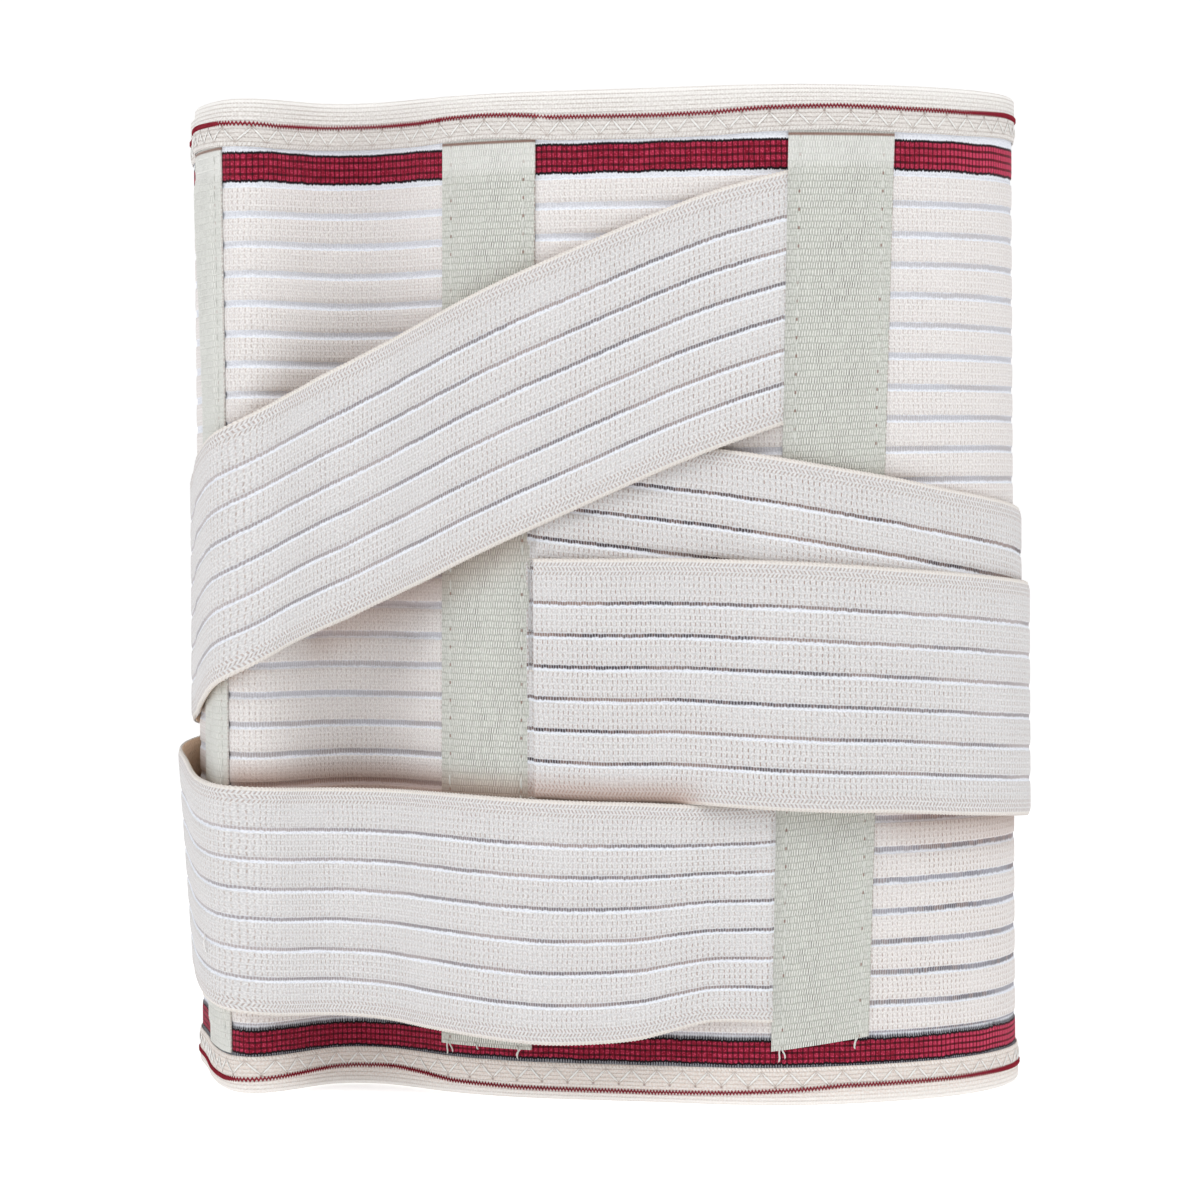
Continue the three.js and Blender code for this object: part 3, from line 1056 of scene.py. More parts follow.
@dataclass(frozen=True)
class WovenTape:
    """Woven casing tape: rows of upright floats with pinholes between them, plain at its hems."""

    name: str
    width: float
    # share of painted light: the tape lightened towards pale_tone, as if lit from the left
    shade: float = 0.0
    hem: float = 2.6
    row_pitch: float = 1.85
    float_pitch: float = 0.72
    tape_tone: Colour = tone(198, 200, 193)
    float_tone: Colour = tone(238, 239, 234)
    gap_tone: Colour = tone(140, 141, 130)
    hole_tone: Colour = tone(96, 84, 78)
    stitch_and_shade_tone: Colour = tone(134, 100, 86)
    pale_tone: Colour = tone(232, 232, 229)
    painted_nook_shade: Colour = tone(170, 140, 122)

    def make(self) -> bpy.types.Material:
        """The finished material."""
        bench = Bench(self.name, 0.85, 0.1)
        down, across = bench.cloth()
        ripple = bench.noise(down * 0.35, across * 0.4) - 0.5
        rows = down / self.row_pitch + ripple * 0.22
        floats = across / self.float_pitch + (rows.floor() * 0.5).fract() + ripple * 0.4 + rows.fract() * 0.15
        luck = bench.chance(floats.floor(), rows.floor())
        in_row = rows.off_centre().step(0.48, 0.32)
        light = floats.off_centre().step(0.34, 0.14) * in_row * (luck * 0.4 + 0.6)
        gap = floats.off_centre().step(0.3, 0.46) * in_row
        open_cloth = bench.noise(down * 0.03, across * 0.08 + 4.0).step(0.25, 0.6)
        inset = self.width / 2 - abs(across - self.width / 2)
        plain = inset.step(self.hem + 0.6, self.hem - 0.4)
        middle = inset.step(self.hem, self.width * 0.4) * (open_cloth * 0.6 + 0.4)
        hole = gap * luck.step(0.4, 0.8) * middle
        fleck = bench.noise(down * 1.4, across * 1.4)
        colour = bench.blend(fleck.step(0.3, 0.7) * 0.4, self.tape_tone, self.float_tone)
        colour = bench.blend((1.0 - in_row) * 0.35, colour, self.gap_tone)
        colour = bench.blend(light * 0.65 * (1.0 - plain * 0.6), colour, self.float_tone)
        colour = bench.blend(gap * (0.6 - plain * 0.4), colour, self.gap_tone)
        colour = bench.blend(hole * 0.85, colour, self.hole_tone)
        frayed = bench.noise(down * 1.3, 1.0)
        # A ragged brown line down the right edge: the edge's brown thread, with painted contact shade where
        # it meets the panel
        rim = (self.width - across).step(0.35, 0.05) * frayed.step(0.3, 0.6)
        colour = bench.blend(rim * 0.6, colour, self.stitch_and_shade_tone)
        side = (across / self.width).step(0.4, 0.6)
        kept = bench.chance((down / CASING_STITCH).floor(), side).step(0.15, 0.5)
        pierced = abs(inset - CASING_HEM).step(0.4, 0.15)
        pierced = pierced * (down / CASING_STITCH).off_centre().step(0.12, 0.05)
        colour = bench.blend(pierced * kept * 0.8, colour, self.stitch_and_shade_tone)
        colour = bench.blend(down.step(12.0, 8.0) * 0.5, colour, self.pale_tone)
        # Painted light: the whole tape lightened by its share, as if lit from the left
        colour = bench.blend(self.shade, colour, self.pale_tone)
        # Painted shadow: a ragged brown line where the tape's head runs under the binding's hem
        hem_shadow = abs(down - 2.1 + frayed * 0.6).step(0.8, 0.25)
        colour = bench.blend(hem_shadow * (frayed.step(0.35, 0.6) * 0.6 + 0.3), colour, self.stitch_and_shade_tone)
        # Painted shade where the tape lies by a strap's edge
        colour = bench.blend(bench.attribute(NOOK), colour, self.painted_nook_shade)
        relief = 0.35 + light * 0.45 - gap * 0.25 - hole * 0.25 + in_row * 0.15 + fleck * 0.1
        return bench.dress(colour, relief, 0.25)


@dataclass(frozen=True)
class LoopPile:
    """Brushed loop pile of the hidden fastenings."""

    name: str
    pile_tone: Colour = tone(214, 211, 205)
    deep_tone: Colour = tone(170, 164, 156)

    def make(self) -> bpy.types.Material:
        """The finished material."""
        bench = Bench(self.name, 0.95, 0.3)
        along, across = bench.cloth()
        curl = bench.noise(along * 1.3, across * 1.3, 3.0)
        nap = bench.noise(along * 0.12, across * 0.12)
        # Painted shade: the pile darker where it lies low
        colour = bench.blend(curl.step(0.65, 0.35) * 0.7, self.pile_tone, self.deep_tone)
        colour = bench.blend(nap * 0.25, colour, tone(228, 225, 220))
        return bench.dress(colour, curl, 0.5)


@dataclass(frozen=True)
class SewingThread:
    """Twisted sewing thread."""

    name: str
    thread_tone: Colour = tone(252, 252, 250)
    shade_tone: Colour = tone(228, 226, 222)

    def make(self) -> bpy.types.Material:
        """The finished material."""
        bench = Bench(self.name, 0.6, 0.1)
        place = bench.node("ShaderNodeTexCoord")
        twist = bench.node("ShaderNodeTexWave")
        twist.inputs["Scale"].default_value = 900.0
        twist.inputs["Distortion"].default_value = 2.0
        bench.tree.links.new(place.outputs["Object"], twist.inputs["Vector"])
        ply = Field(bench, twist.outputs["Fac"])
        return bench.dress(bench.blend(ply * 0.5, self.thread_tone, self.shade_tone), ply, 0.08)


def settle(piece: bpy.types.Object, node: Union[str, None]) -> bpy.types.Object:
    """Fix a piece to the brace.

    Args:
        piece: the piece.
        node: the CAD node that it stands for, if any.

    Returns:
        The piece.
    """
    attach(piece, BODY)
    if node is not None:
        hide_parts(node)
    LOG.info("%s: %d faces", piece.name, len(piece.data.polygons))
    return piece


def rib_relief(across: Array, grooves: Array, half_slit: float, crown: float, depth: float) -> Array:
    """Height of ribbed elastic over its plain face: crowned ribs with a flat groove between each two.

    Args:
        across: places across the cloth.
        grooves: places of the grooves.
        half_slit: half the width of a groove.
        crown: how far a rib's middle stands up.
        depth: how far a groove goes down.

    Returns:
        The height at each place.
    """
    near = np.abs(across[:, None] - grooves[None, :]).min(axis=1)
    dip = 1 - smooth_step(near, half_slit * 0.7, half_slit * 1.15)
    return crown * smooth_step(near, half_slit, half_slit * 3.2) - depth * dip


def rib_stops(low: float, high: float, grooves: Array, half_slit: float) -> Array:
    """Stops across ribbed elastic: close together at the grooves, wide on the ribs.

    Args:
        low: the lower edge.
        high: the upper edge.
        grooves: places of the grooves.
        half_slit: half the width of a groove.

    Returns:
        The stops, in order.
    """
    offsets = np.array([-2.8, -1.15, -0.7, 0.7, 1.15, 2.8]) * half_slit
    hem = np.array([0, 0.35, 0.9, 2.0, 4.0])
    every = np.concatenate([(grooves[:, None] + offsets).ravel(), low + hem, high - hem])
    every = np.unique(np.round(every, 3))
    return every[(every >= low) & (every <= high)]


@dataclass
class Panel:
    """The long ribbed wall of the brace."""

    name: str = "panel"
    hem: float = BINDING_WALL + GAP
    half_slit: float = 0.9
    crown: float = 0.1
    groove: float = 0.28
    grooves: Array = field(default_factory=lambda: np.linspace(FIRST_GROOVE, LAST_GROOVE, RIB_COUNT + 1))

    def wobble(self, along: Array, height: Array) -> Array:
        """How far a rib strays from its level.

        Args:
            along: places along the panel.
            height: levels of the ribs.

        Returns:
            The distance upward.
        """
        calm = smooth_step(height, 12, 40) * (1 - smooth_step(height, 245, 266))
        slow = np.sin(along / 31 + height / 17) * 0.22 + np.sin(along / 11.3 - height / 9) * 0.1
        return slow * calm

    def place(self, along: Array, height: Array, side: Array) -> Array:
        """Points of the panel.

        Args:
            along: places along it.
            height: heights on it.
            side: 1 outside and 0 inside.

        Returns:
            The points in metres.
        """
        relief = rib_relief(height, self.grooves, self.half_slit, self.crown, self.groove)
        half = PANEL_WALL / 2 - self.crown
        out = np.where(side > 0.5, half + relief, -half - relief * 0.6)
        return BRACE.on(Form.WALL, along, height + self.wobble(along, height), out)

    def slit_shading(self, along: Array, height: Array) -> Array:
        """How dark the slits look: painted shade seen through them, deeper towards the bottom and the right,
        and paler past the left casing.

        Args:
            along: places along the panel.
            height: heights on it.

        Returns:
            A share from 0 to 1 at each place.
        """
        low = 1 - smooth_step(height, 60, 235)
        right = smooth_step(along, 40, 90)
        turned = smooth_step(along, -185, -166)
        return np.clip(0.22 + 0.5 * low + 0.25 * right, 0, 1) * (0.4 + 0.6 * turned)

    def build(self, material: bpy.types.Material) -> bpy.types.Object:
        """Make the panel.

        Args:
            material: its finish.

        Returns:
            The piece.
        """
        runs = BRACE.stops(Form.WALL, BRACE.start, BRACE.end, 0.05, 7.0)
        crosses = rib_stops(self.hem, HEIGHT - self.hem, self.grooves, self.half_slit)
        piece = woven_slab(self.name, runs, crosses, self.place, material, self.slit_shading, shade)
        return settle(piece, self.name)

    def dress(self) -> bpy.types.Object:
        """Make the panel with its finish.

        Returns:
            The piece.
        """
        pitch = (LAST_GROOVE - FIRST_GROOVE) / RIB_COUNT
        finish = BandedElastic("elastic_panel", FIRST_GROOVE, LAST_GROOVE, pitch, eyelet_depth=0.7, slit=2.0,
                               gap_at=0.3, gap=1.3, slit_shade_tone=tone(96, 90, 96), slit_warm_shade=tone(138, 116, 106),
                               slit_faded_shade=tone(156, 155, 166), rib_tone=tone(220, 216, 215),
                               rib_light=tone(239, 236, 234), inner_colour_and_warm_shade=tone(226, 222, 218))
        piece = self.build(finish.make())
        length = (BRACE.end - BRACE.start) * MM
        (HEIGHT - 2 * self.hem) * MM
        return piece


class Edge(Enum):
    """An edge of the panel that a binding is folded over: its level, and the way the tape's legs run."""

    TOP = (HEIGHT, -1)
    BOTTOM = (0.0, 1)


class LineRow(NamedTuple):
    """A place on a binding's coloured line: along the panel, and from the tape's fold."""

    along: float
    from_fold: float


LINES = {
    "top_binding": (
        LineRow(-372, 8.3), LineRow(-200, 8), LineRow(-150, 7.4), LineRow(-136, 7.7), LineRow(-120, 8.6),
        LineRow(-95, 8), LineRow(-70, 8.1), LineRow(-58, 7.4), LineRow(-48, 7.1), LineRow(-38, 7.4),
        LineRow(-28, 8.4), LineRow(2, 8.8), LineRow(18, 8.5), LineRow(32, 7.5), LineRow(52, 6.9),
        LineRow(70, 7.4), LineRow(90, 7.6), LineRow(110, 6.9), LineRow(160, 7.6), LineRow(320, 8.3),
    ),
    "bottom_binding": (
        LineRow(-372, 5), LineRow(-200, 4.8), LineRow(-140, 4.5), LineRow(-120, 5.4), LineRow(-98, 6.4),
        LineRow(-82, 6.7), LineRow(-72, 6), LineRow(-60, 4.6), LineRow(-40, 4), LineRow(0, 3.8),
        LineRow(20, 4.3), LineRow(40, 5.3), LineRow(52, 6.2), LineRow(100, 6.3), LineRow(160, 5.6),
        LineRow(320, 5),
    ),
}


@dataclass
class Binding:
    """Elastic tape folded over one edge of the panel, which rides up where it crosses a casing."""

    name: str
    edge: Edge
    reach: float
    slack: float
    over: Sequence[tuple[float, float]] = ()
    outside: float = 1.8
    wall: float = 0.7
    fold: float = 2.2
    bulge: float = 0.6
    ridge_depth: float = 0.5
    tape_tone: Colour = tone(221, 217, 213)

    def line_at(self, along: Array) -> Array:
        """Distance of the coloured line from the fold at places along the panel."""
        rows = LINES[self.name]
        return np.interp(along, [row.along for row in rows], [row.from_fold for row in rows])

    def stretch(self, along: Array) -> Array:
        """How much wider than its narrowest the tape lies at places along the panel.

        Args:
            along: places along the panel.

        Returns:
            A share of the width, from 1 up.
        """
        line = self.line_at(along)
        least = min(row.from_fold for row in LINES[self.name])
        return 1 + self.slack * (line - least) / self.reach

    def profile(self, across: Array, side: Array) -> tuple[Array, Array]:
        """The tape's section.

        Args:
            across: distances from the fold, outside as plus.
            side: 1 on the outer face and 0 on the inner one.

        Returns:
            How far out it stands, and how far in from the edge.
        """
        share = np.clip(np.abs(across) / self.fold, 0, 1)
        turn = share * math.pi / 2
        wide = self.outside * np.sin(turn) ** 0.8
        deep = self.fold * (1 - np.cos(turn)) * 0.62
        run = np.maximum(np.abs(across) - self.fold, 0)
        rise = deep + run
        inner = 1 - side
        out = np.sign(across) * (wide - inner * self.wall * np.sin(turn))
        rise = rise + inner * self.wall * np.cos(turn)
        hem = smooth_step(np.abs(across), self.reach - 1.2, self.reach)
        out = out - np.sign(across) * hem * (side * 0.3 - inner * 0.2)
        return out, rise

    def lifted(self, along: Array, across: Array) -> Array:
        """How far the tape stands off over the casings that run under it.

        Args:
            along: places along the panel.
            across: distances from the fold, outside as plus.

        Returns:
            The distance outward.
        """
        near = np.zeros_like(along)
        for start, end in self.over:
            inside = smooth_step(along, start - 2, start) * (1 - smooth_step(along, end, end + 2))
            near = np.maximum(near, inside)
        return self.bulge * near * smooth_step(across, self.fold, self.reach * 0.7)

    def place(self, along: Array, across: Array, side: Array) -> Array:
        """Points of the tape.

        Args:
            along: places along the panel.
            across: distances from the fold.
            side: 1 on the outer face and 0 on the inner one.

        Returns:
            The points in metres.
        """
        out, rise = self.profile(across, side)
        out = out + self.lifted(along, across)
        level, way = self.edge.value
        return BRACE.on(Form.WALL, along, level + way * rise * self.stretch(along), out)

    def dress(self) -> bpy.types.Object:
        """Make the tape with its finish.

        Returns:
            The piece.
        """
        runs = BRACE.stops(Form.WALL, BRACE.start, BRACE.end, 0.05, 4.0)
        bend = self.fold * np.array([0.0, 0.25, 0.5, 0.75, 1.0])
        leg = np.linspace(self.fold, self.reach, 12)[1:-1]
        tip = self.reach - np.array([0.0, 0.3, 0.7])
        half = np.unique(np.concatenate([bend, leg, tip]))
        crosses = np.concatenate([-half[:0:-1], half])
        finish = FoldedTape(f"{self.name}_tape", self.reach, BRACE.start + STITCH_INSET,
                            self.ridge_depth, self.tape_tone)
        piece = woven_slab(self.name, runs, crosses, self.place, finish.make())
        settle(piece, self.name)
        length = (BRACE.end - BRACE.start) * MM
        2 * self.reach * MM
        return piece


@dataclass
class Casing:
    """An upright woven tape sewn over the panel."""

    row: CasingRow
    # share of painted light on the casing's tape
    shade: float = 0.0
    head: float = HEIGHT - TOP_BINDING + 0.6
    seat: float = PANEL_WALL / 2 + 0.05
    edge_wall: float = 0.4
    stay_rise: float = 0.8
    stay_top: float = 9.0
    stay_foot: float = 4.0
    stay_corner: float = 5.0

    @property
    def width(self) -> float:
        """Width of the tape at its head."""
        return self.row.head[1] - self.row.head[0]

    def spot(self, down: Array, across: Array) -> tuple[Array, Array]:
        """Where a place on the tape lies on the panel.

        Args:
            down: distances from its head.
            across: distances from its left edge.

        Returns:
            Places along the panel, and heights.
        """
        share = across / self.width
        low = self.row.low[0] + (self.row.low[1] - self.row.low[0]) * share
        fall = down / (self.head - min(self.row.low))
        head = self.row.head[0] + (self.row.head[1] - self.row.head[0]) * share
        foot = self.row.foot[0] + (self.row.foot[1] - self.row.foot[0]) * share
        return head + (foot - head) * fall, self.head + (low - self.head) * fall

    def rise(self, down: Array, across: Array) -> Array:
        """Height of the tape: thin at its hems, and raised over the round-ended stay inside it.

        Args:
            down: distances from its head.
            across: distances from its left edge.

        Returns:
            The height in millimetres.
        """
        inset = np.minimum(across, self.width - across)
        length = self.head - min(self.row.low)
        half = self.width / 2 - CASING_HEM - 0.4, (length - self.stay_top - self.stay_foot) / 2
        middle = self.stay_top + half[1]
        aside = np.maximum(np.abs(across - self.width / 2) - half[0] + self.stay_corner, 0)
        beyond = np.maximum(np.abs(down - middle) - half[1] + self.stay_corner, 0)
        stay = smooth_step(self.stay_corner - np.hypot(aside, beyond), -0.6, 2.2)
        tape = self.edge_wall + 0.25 * smooth_step(inset, 0, 1.5)
        ripple = np.sin(down / 6.1 + across * 0.7) * 0.04 + np.sin(down / 2.3 - across * 0.4) * 0.03
        return tape + self.stay_rise * stay + ripple * smooth_step(inset, 0, 1.0)

    def place(self, down: Array, across: Array, side: Array) -> Array:
        """Points of the tape.

        Args:
            down: distances from its head.
            across: distances from its left edge.
            side: 1 outside and 0 inside.

        Returns:
            The points in metres.
        """
        along, height = self.spot(down, across)
        under_binding = smooth_step(height, HEIGHT - TOP_BINDING - 1.4, HEIGHT - TOP_BINDING + 0.2)
        full = self.rise(down, across) * (1 - 0.3 * under_binding)
        return BRACE.on(Form.WALL, along, height, self.seat + side * full)

    def dress(self) -> bpy.types.Object:
        """Make the tape with its finish.

        Returns:
            The piece.
        """
        length = self.head - min(self.row.low)
        runs = np.unique(np.concatenate([np.linspace(0, 22, 30), np.linspace(22, length, 96)]))
        inset = np.array([0, 0.4, 1.1, 2.0, 2.7, 3.2, 3.7, 4.3, 5.0, 6.0, 7.5, 10.0])
        crosses = np.unique(np.concatenate([inset, self.width / 2 * np.ones(1), self.width - inset]))
        finish = WovenTape(f"{self.row.name}_tape", self.width, self.shade)
        piece = woven_slab(self.row.name, runs, crosses, self.place, finish.make(),
                           nooks=lambda down, across: shade(*self.spot(down, across)))
        settle(piece, self.row.name)
        self.width * MM
        length * MM
        return piece


@dataclass
class Strap:
    """A ribbed strap that follows its table round the brace."""

    name: str
    rows: Sequence[StrapRow]
    shading_left: float
    shading_right: float
    half_slit: float = 0.9
    crown: float = 0.1
    groove: float = 0.28
    bow: float = 1.0
    tuck: float = 1.5
    seam_run: float = 6.0

    @property
    def to_right(self) -> bool:
        """Whether the sewn end, which is the one nearer the spine, is the right one."""
        return abs(self.rows[-1].along) < abs(self.rows[0].along)

    @property
    def grooves(self) -> Array:
        """Places of the grooves across the strap."""
        return np.linspace(STRAP_EDGE_RIB, STRAP_WIDTH - STRAP_EDGE_RIB, STRAP_GROOVES) - GROOVE_DROP

    def place(self, along: Array, across: Array, side: Array) -> Array:
        """Points of the strap.

        Args:
            along: places along the panel.
            across: distances from its lower edge.
            side: 1 outside and 0 inside.

        Returns:
            The points in metres.
        """
        share = across / STRAP_WIDTH
        bottom, top = (column_at(self.rows, name, along) for name in ("bottom", "top"))
        low, high = (column_at(self.rows, name, along) for name in ("bottom_lift", "top_lift"))
        height = bottom + (top - bottom) * share
        lift = low + (high - low) * share ** self.bow
        relief = rib_relief(across, self.grooves, self.half_slit, self.crown, self.groove)
        inset = np.minimum(across, STRAP_WIDTH - across)
        thin = 1 - smooth_step(inset, 0, 1.6)
        face = STRAP_WALL - self.crown + relief - thin * 0.5
        back = 0.1 - relief * 0.5 + thin * 0.3
        sunk = smooth_step(self.past_seam(along, height), -self.tuck, 0.0)
        out = SEAT + lift + np.where(side > 0.5, face, back)
        out = out * (1 - sunk) + np.where(side > 0.5, 1.3, 1.1) * sunk
        return BRACE.on(Form.GIRTH, along, height, out)

    def past_seam(self, along: Array, height: Array) -> Array:
        """How far a place lies under the casing that the strap's end is sewn into.

        Args:
            along: places along the panel.
            height: heights on it.

        Returns:
            The distance from the casing's edge, minus where the strap lies free.
        """
        middle, right = CASINGS[1:]
        head, foot = (right.head[0], right.foot[0]) if self.to_right else (middle.head[1], middle.foot[1])
        edge = foot + (head - foot) * height / (HEIGHT - TOP_BINDING)
        return along - edge if self.to_right else edge - along

    def slit_shading(self, along: Array, across: Array) -> Array:
        """How dark the slits look: painted shade seen through them, changing smoothly from one end of the
        strap to the other.

        Args:
            along: places along the panel.
            across: distances from the lower edge.

        Returns:
            A share from 0 to 1 at each place.
        """
        start, end = self.rows[0].along, self.rows[-1].along
        share = smooth_step(along, start, end)
        return self.shading_left + (self.shading_right - self.shading_left) * share + 0 * across

    def nooks(self, along: Array, across: Array) -> Array:
        """How far the strap is shaded where another lies over its border.

        Args:
            along: places along the panel.
            across: distances from the lower edge.

        Returns:
            A share from 0 to 1 at each place.
        """
        bottom, top = (column_at(self.rows, name, along) for name in ("bottom", "top"))
        return nook(along, bottom + (top - bottom) * across / STRAP_WIDTH)

    def dress(self, material: bpy.types.Material) -> bpy.types.Object:
        """Make the strap.

        Args:
            material: its finish.

        Returns:
            The piece.
        """
        start, end = self.rows[0].along, self.rows[-1].along
        sewn = np.linspace(0, self.seam_run, 13)
        sewn = end - sewn if self.to_right else start + sewn
        runs = np.unique(np.concatenate([BRACE.stops(Form.GIRTH, start, end, 0.04, 4.0), sewn]))
        crosses = rib_stops(0, STRAP_WIDTH, self.grooves, self.half_slit)
        nooks = self.nooks if self.name == "strap_lower_right" else None
        piece = woven_slab(self.name, runs, crosses, self.place, material, self.slit_shading, nooks)
        settle(piece, self.name)
        return piece


@dataclass
class Fastening:
    """A plain fastening of loop pile that lies on the panel, out of sight."""

    row: FasteningRow

    def place(self, along: Array, height: Array, side: Array) -> Array:
        """Points of the fastening.

        Args:
            along: places along the panel.
            height: heights on it.
            side: 1 outside and 0 inside.

        Returns:
            The points in metres.
        """
        row = self.row
        inset = np.minimum.reduce([along - row.start, row.end - along, height - row.bottom, row.top - height])
        thin = 1 - smooth_step(inset, 0, 3.0)
        pile = np.sin(along * 1.7 + height) * np.sin(height * 1.3 - along * 0.6) * 0.06
        wall = row.wall - thin * 1.2 + pile
        return BRACE.on(Form.WALL, along, height, SEAT + np.where(side > 0.5, wall, thin * 0.4))

    def dress(self, material: bpy.types.Material) -> bpy.types.Object:
        """Make the fastening.

        Args:
            material: its finish.

        Returns:
            The piece.
        """
        row = self.row
        hem = np.array([0, 0.5, 1.4, 3.0])
        runs = BRACE.stops(Form.WALL, row.start + 3, row.end - 3, 0.05, 3.0)
        runs = np.unique(np.concatenate([row.start + hem, runs, row.end - hem]))
        levels = np.linspace(row.bottom + 3, row.top - 3, 40)
        levels = np.unique(np.concatenate([row.bottom + hem, levels, row.top - hem]))
        piece = woven_slab(row.name, runs, levels, self.place, material)
        settle(piece, row.name)
        (row.end - row.start) * MM
        return piece


@dataclass
class LineCord:
    """The fine coloured cord that zigzags along a binding."""

    binding: Binding
    step: float = 0.46
    sway: float = 0.42
    thread: float = 0.84

    def dress(self, material: bpy.types.Material) -> bpy.types.Object:
        """Make the cord.

        Args:
            material: its finish.

        Returns:
            The piece.
        """
        bm = bmesh.new()
        along = np.arange(BRACE.start + 1, BRACE.end - 1, self.step)
        zigzag = self.sway * (1 - 2 * (np.arange(len(along)) % 2))
        across = (self.binding.line_at(along) + zigzag) / self.binding.stretch(along)
        face = self.binding.place(along, across, np.ones(len(along)))
        up = self.binding.place(along, across, np.full(len(along), 2.0)) - face
        up /= np.linalg.norm(up, axis=1)[:, None]
        ribbon(bm, face + up * 0.1 * MM, up, self.thread * MM, self.thread * 0.8 * MM)
        piece = finish_mesh(f"{self.binding.name}_line", bm, material, 80.0)
        return settle(piece, None)


@dataclass
class ZigzagSeam:
    """The zigzag stitches that hold a binding."""

    binding: Binding
    thread: float = 0.5

    def dress(self, material: bpy.types.Material) -> bpy.types.Object:
        """Make the stitches.

        Args:
            material: finish of the thread.

        Returns:
            The piece.
        """
        bm = bmesh.new()
        inset = self.binding.reach - STITCH_NEAR, self.binding.reach - STITCH_FAR
        corners = np.arange(BRACE.start + STITCH_INSET, BRACE.end - STITCH_INSET, STITCH_STEP)
        for i, (left, right) in enumerate(zip(corners[:-1], corners[1:])):
            share = np.linspace(0.04, 0.96, 5)
            along = left + (right - left) * share
            across = inset[i % 2] + (inset[1 - i % 2] - inset[i % 2]) * share
            face = self.binding.place(along, across, np.ones(5))
            arch = np.sin(np.pi * share) * 0.12 + 0.02
            up = self.binding.place(along, across, np.full(5, 2.0)) - face
            up /= np.linalg.norm(up, axis=1)[:, None]
            ribbon(bm, face + up * arch[:, None] * MM, up, self.thread * MM, self.thread * 0.8 * MM)
        piece = finish_mesh(f"{self.binding.name}_stitches", bm, material, 80.0)
        return settle(piece, None)


@dataclass
class StraightSeam:
    """The two lines of running stitches down a casing."""

    casing: Casing
    thread: float = 0.5
    stitch: float = 4.0

    def dress(self, material: bpy.types.Material) -> bpy.types.Object:
        """Make the stitches.

        Args:
            material: finish of the thread.

        Returns:
            The piece.
        """
        bm = bmesh.new()
        casing = self.casing
        length = casing.head - min(casing.row.low)
        for inset in (CASING_HEM, casing.width - CASING_HEM):
            for hole in np.arange(CASING_STITCH / 2, length - CASING_STITCH, CASING_STITCH):
                share = np.linspace(0, 1, 5)
                start = hole + (CASING_STITCH - self.stitch) / 2
                down = start + self.stitch * share
                across = inset + np.sin(start * 1.3) * 0.12 + 0.2 * (share - 0.5)
                face = casing.place(down, across, np.ones(5))
                up = casing.place(down, across, np.full(5, 2.0)) - face
                up /= np.linalg.norm(up, axis=1)[:, None]
                arch = np.sin(np.pi * share) * 0.2 - 0.1
                ribbon(bm, face + up * arch[:, None] * MM, up, self.thread * MM, self.thread * 0.7 * MM)
        piece = finish_mesh(f"{casing.row.name}_stitches", bm, material, 80.0)
        return settle(piece, None)


@dataclass
class LooseThreads:
    """Short thread ends that hang from the corners of a casing's foot."""

    casing: Casing
    ends: Sequence[tuple[float, float, float]]
    thread: float = 0.45

    def dress(self, material: bpy.types.Material) -> bpy.types.Object:
        """Make the threads.

        Args:
            material: finish of the thread.

        Returns:
            The piece.
        """
        bm = bmesh.new()
        casing = self.casing
        length = casing.head - min(casing.row.low)
        share = np.linspace(0, 1, 8)
        for across, fall, drift in self.ends:
            down = length - 1.2 + (fall + 1.2) * share
            aside = across + drift * share ** 2 + 0.3 * np.sin(share * 6 + across)
            face = casing.place(down, aside, np.ones(8))
            up = casing.place(down, aside, np.full(8, 2.0)) - face
            up /= np.linalg.norm(up, axis=1)[:, None]
            ribbon(bm, face + up * 0.15 * MM, up, self.thread * MM, self.thread * MM, sides=6)
        piece = finish_mesh(f"{casing.row.name}_threads", bm, material, 80.0)
        return settle(piece, None)


@dataclass
class Picots:
    """The small loops along a strap's two edges."""

    strap: "Strap"
    pitch: float = 1.05
    radius: float = 0.42
    sides: int = 5

    def dress(self, material: bpy.types.Material) -> bpy.types.Object:
        """Make both rows of loops.

        Args:
            material: finish of the loops.

        Returns:
            The piece.
        """
        bm = bmesh.new()
        rows = self.strap.rows
        count = int((rows[-1].along - rows[0].along) / self.pitch) * 3
        along = np.linspace(rows[0].along, rows[-1].along, count + 1)
        for edge in (0.0, STRAP_WIDTH):
            front = self.strap.place(along, np.full(count + 1, edge), np.ones(count + 1))
            back = self.strap.place(along, np.full(count + 1, edge), np.zeros(count + 1))
            lift = front - back
            lift /= np.linalg.norm(lift, axis=1)[:, None]
            swell = 0.62 + 0.38 * np.cos(math.tau * np.arange(count + 1) / 3)
            thick = 2 * self.radius * MM
            ribbon(bm, (front + back) / 2, lift, thick, thick, self.sides, swell)
        piece = finish_mesh(f"{self.strap.name}_picots", bm, material, 80.0)
        return settle(piece, None)


@dataclass
class Snag:
    """A short thread pulled out of a strap's face."""

    strap: Strap
    start: tuple[float, float]
    end: tuple[float, float]
    thread: float = 0.4

    def dress(self, material: bpy.types.Material) -> bpy.types.Object:
        """Make the thread.

        Args:
            material: its finish.

        Returns:
            The piece.
        """
        bm = bmesh.new()
        share = np.linspace(0, 1, 9)
        along = self.start[0] + (self.end[0] - self.start[0]) * share + 0.3 * np.sin(share * 5)
        across = self.start[1] + (self.end[1] - self.start[1]) * share
        face = self.strap.place(along, across, np.ones(9))
        up = face - self.strap.place(along, across, np.zeros(9))
        up /= np.linalg.norm(up, axis=1)[:, None]
        arch = 0.1 + 0.5 * np.sin(np.pi * share)
        ribbon(bm, face + up * arch[:, None] * MM, up, self.thread * MM, self.thread * MM, sides=6)
        piece = finish_mesh(f"{self.strap.name}_snag", bm, material, 80.0)
        return settle(piece, None)


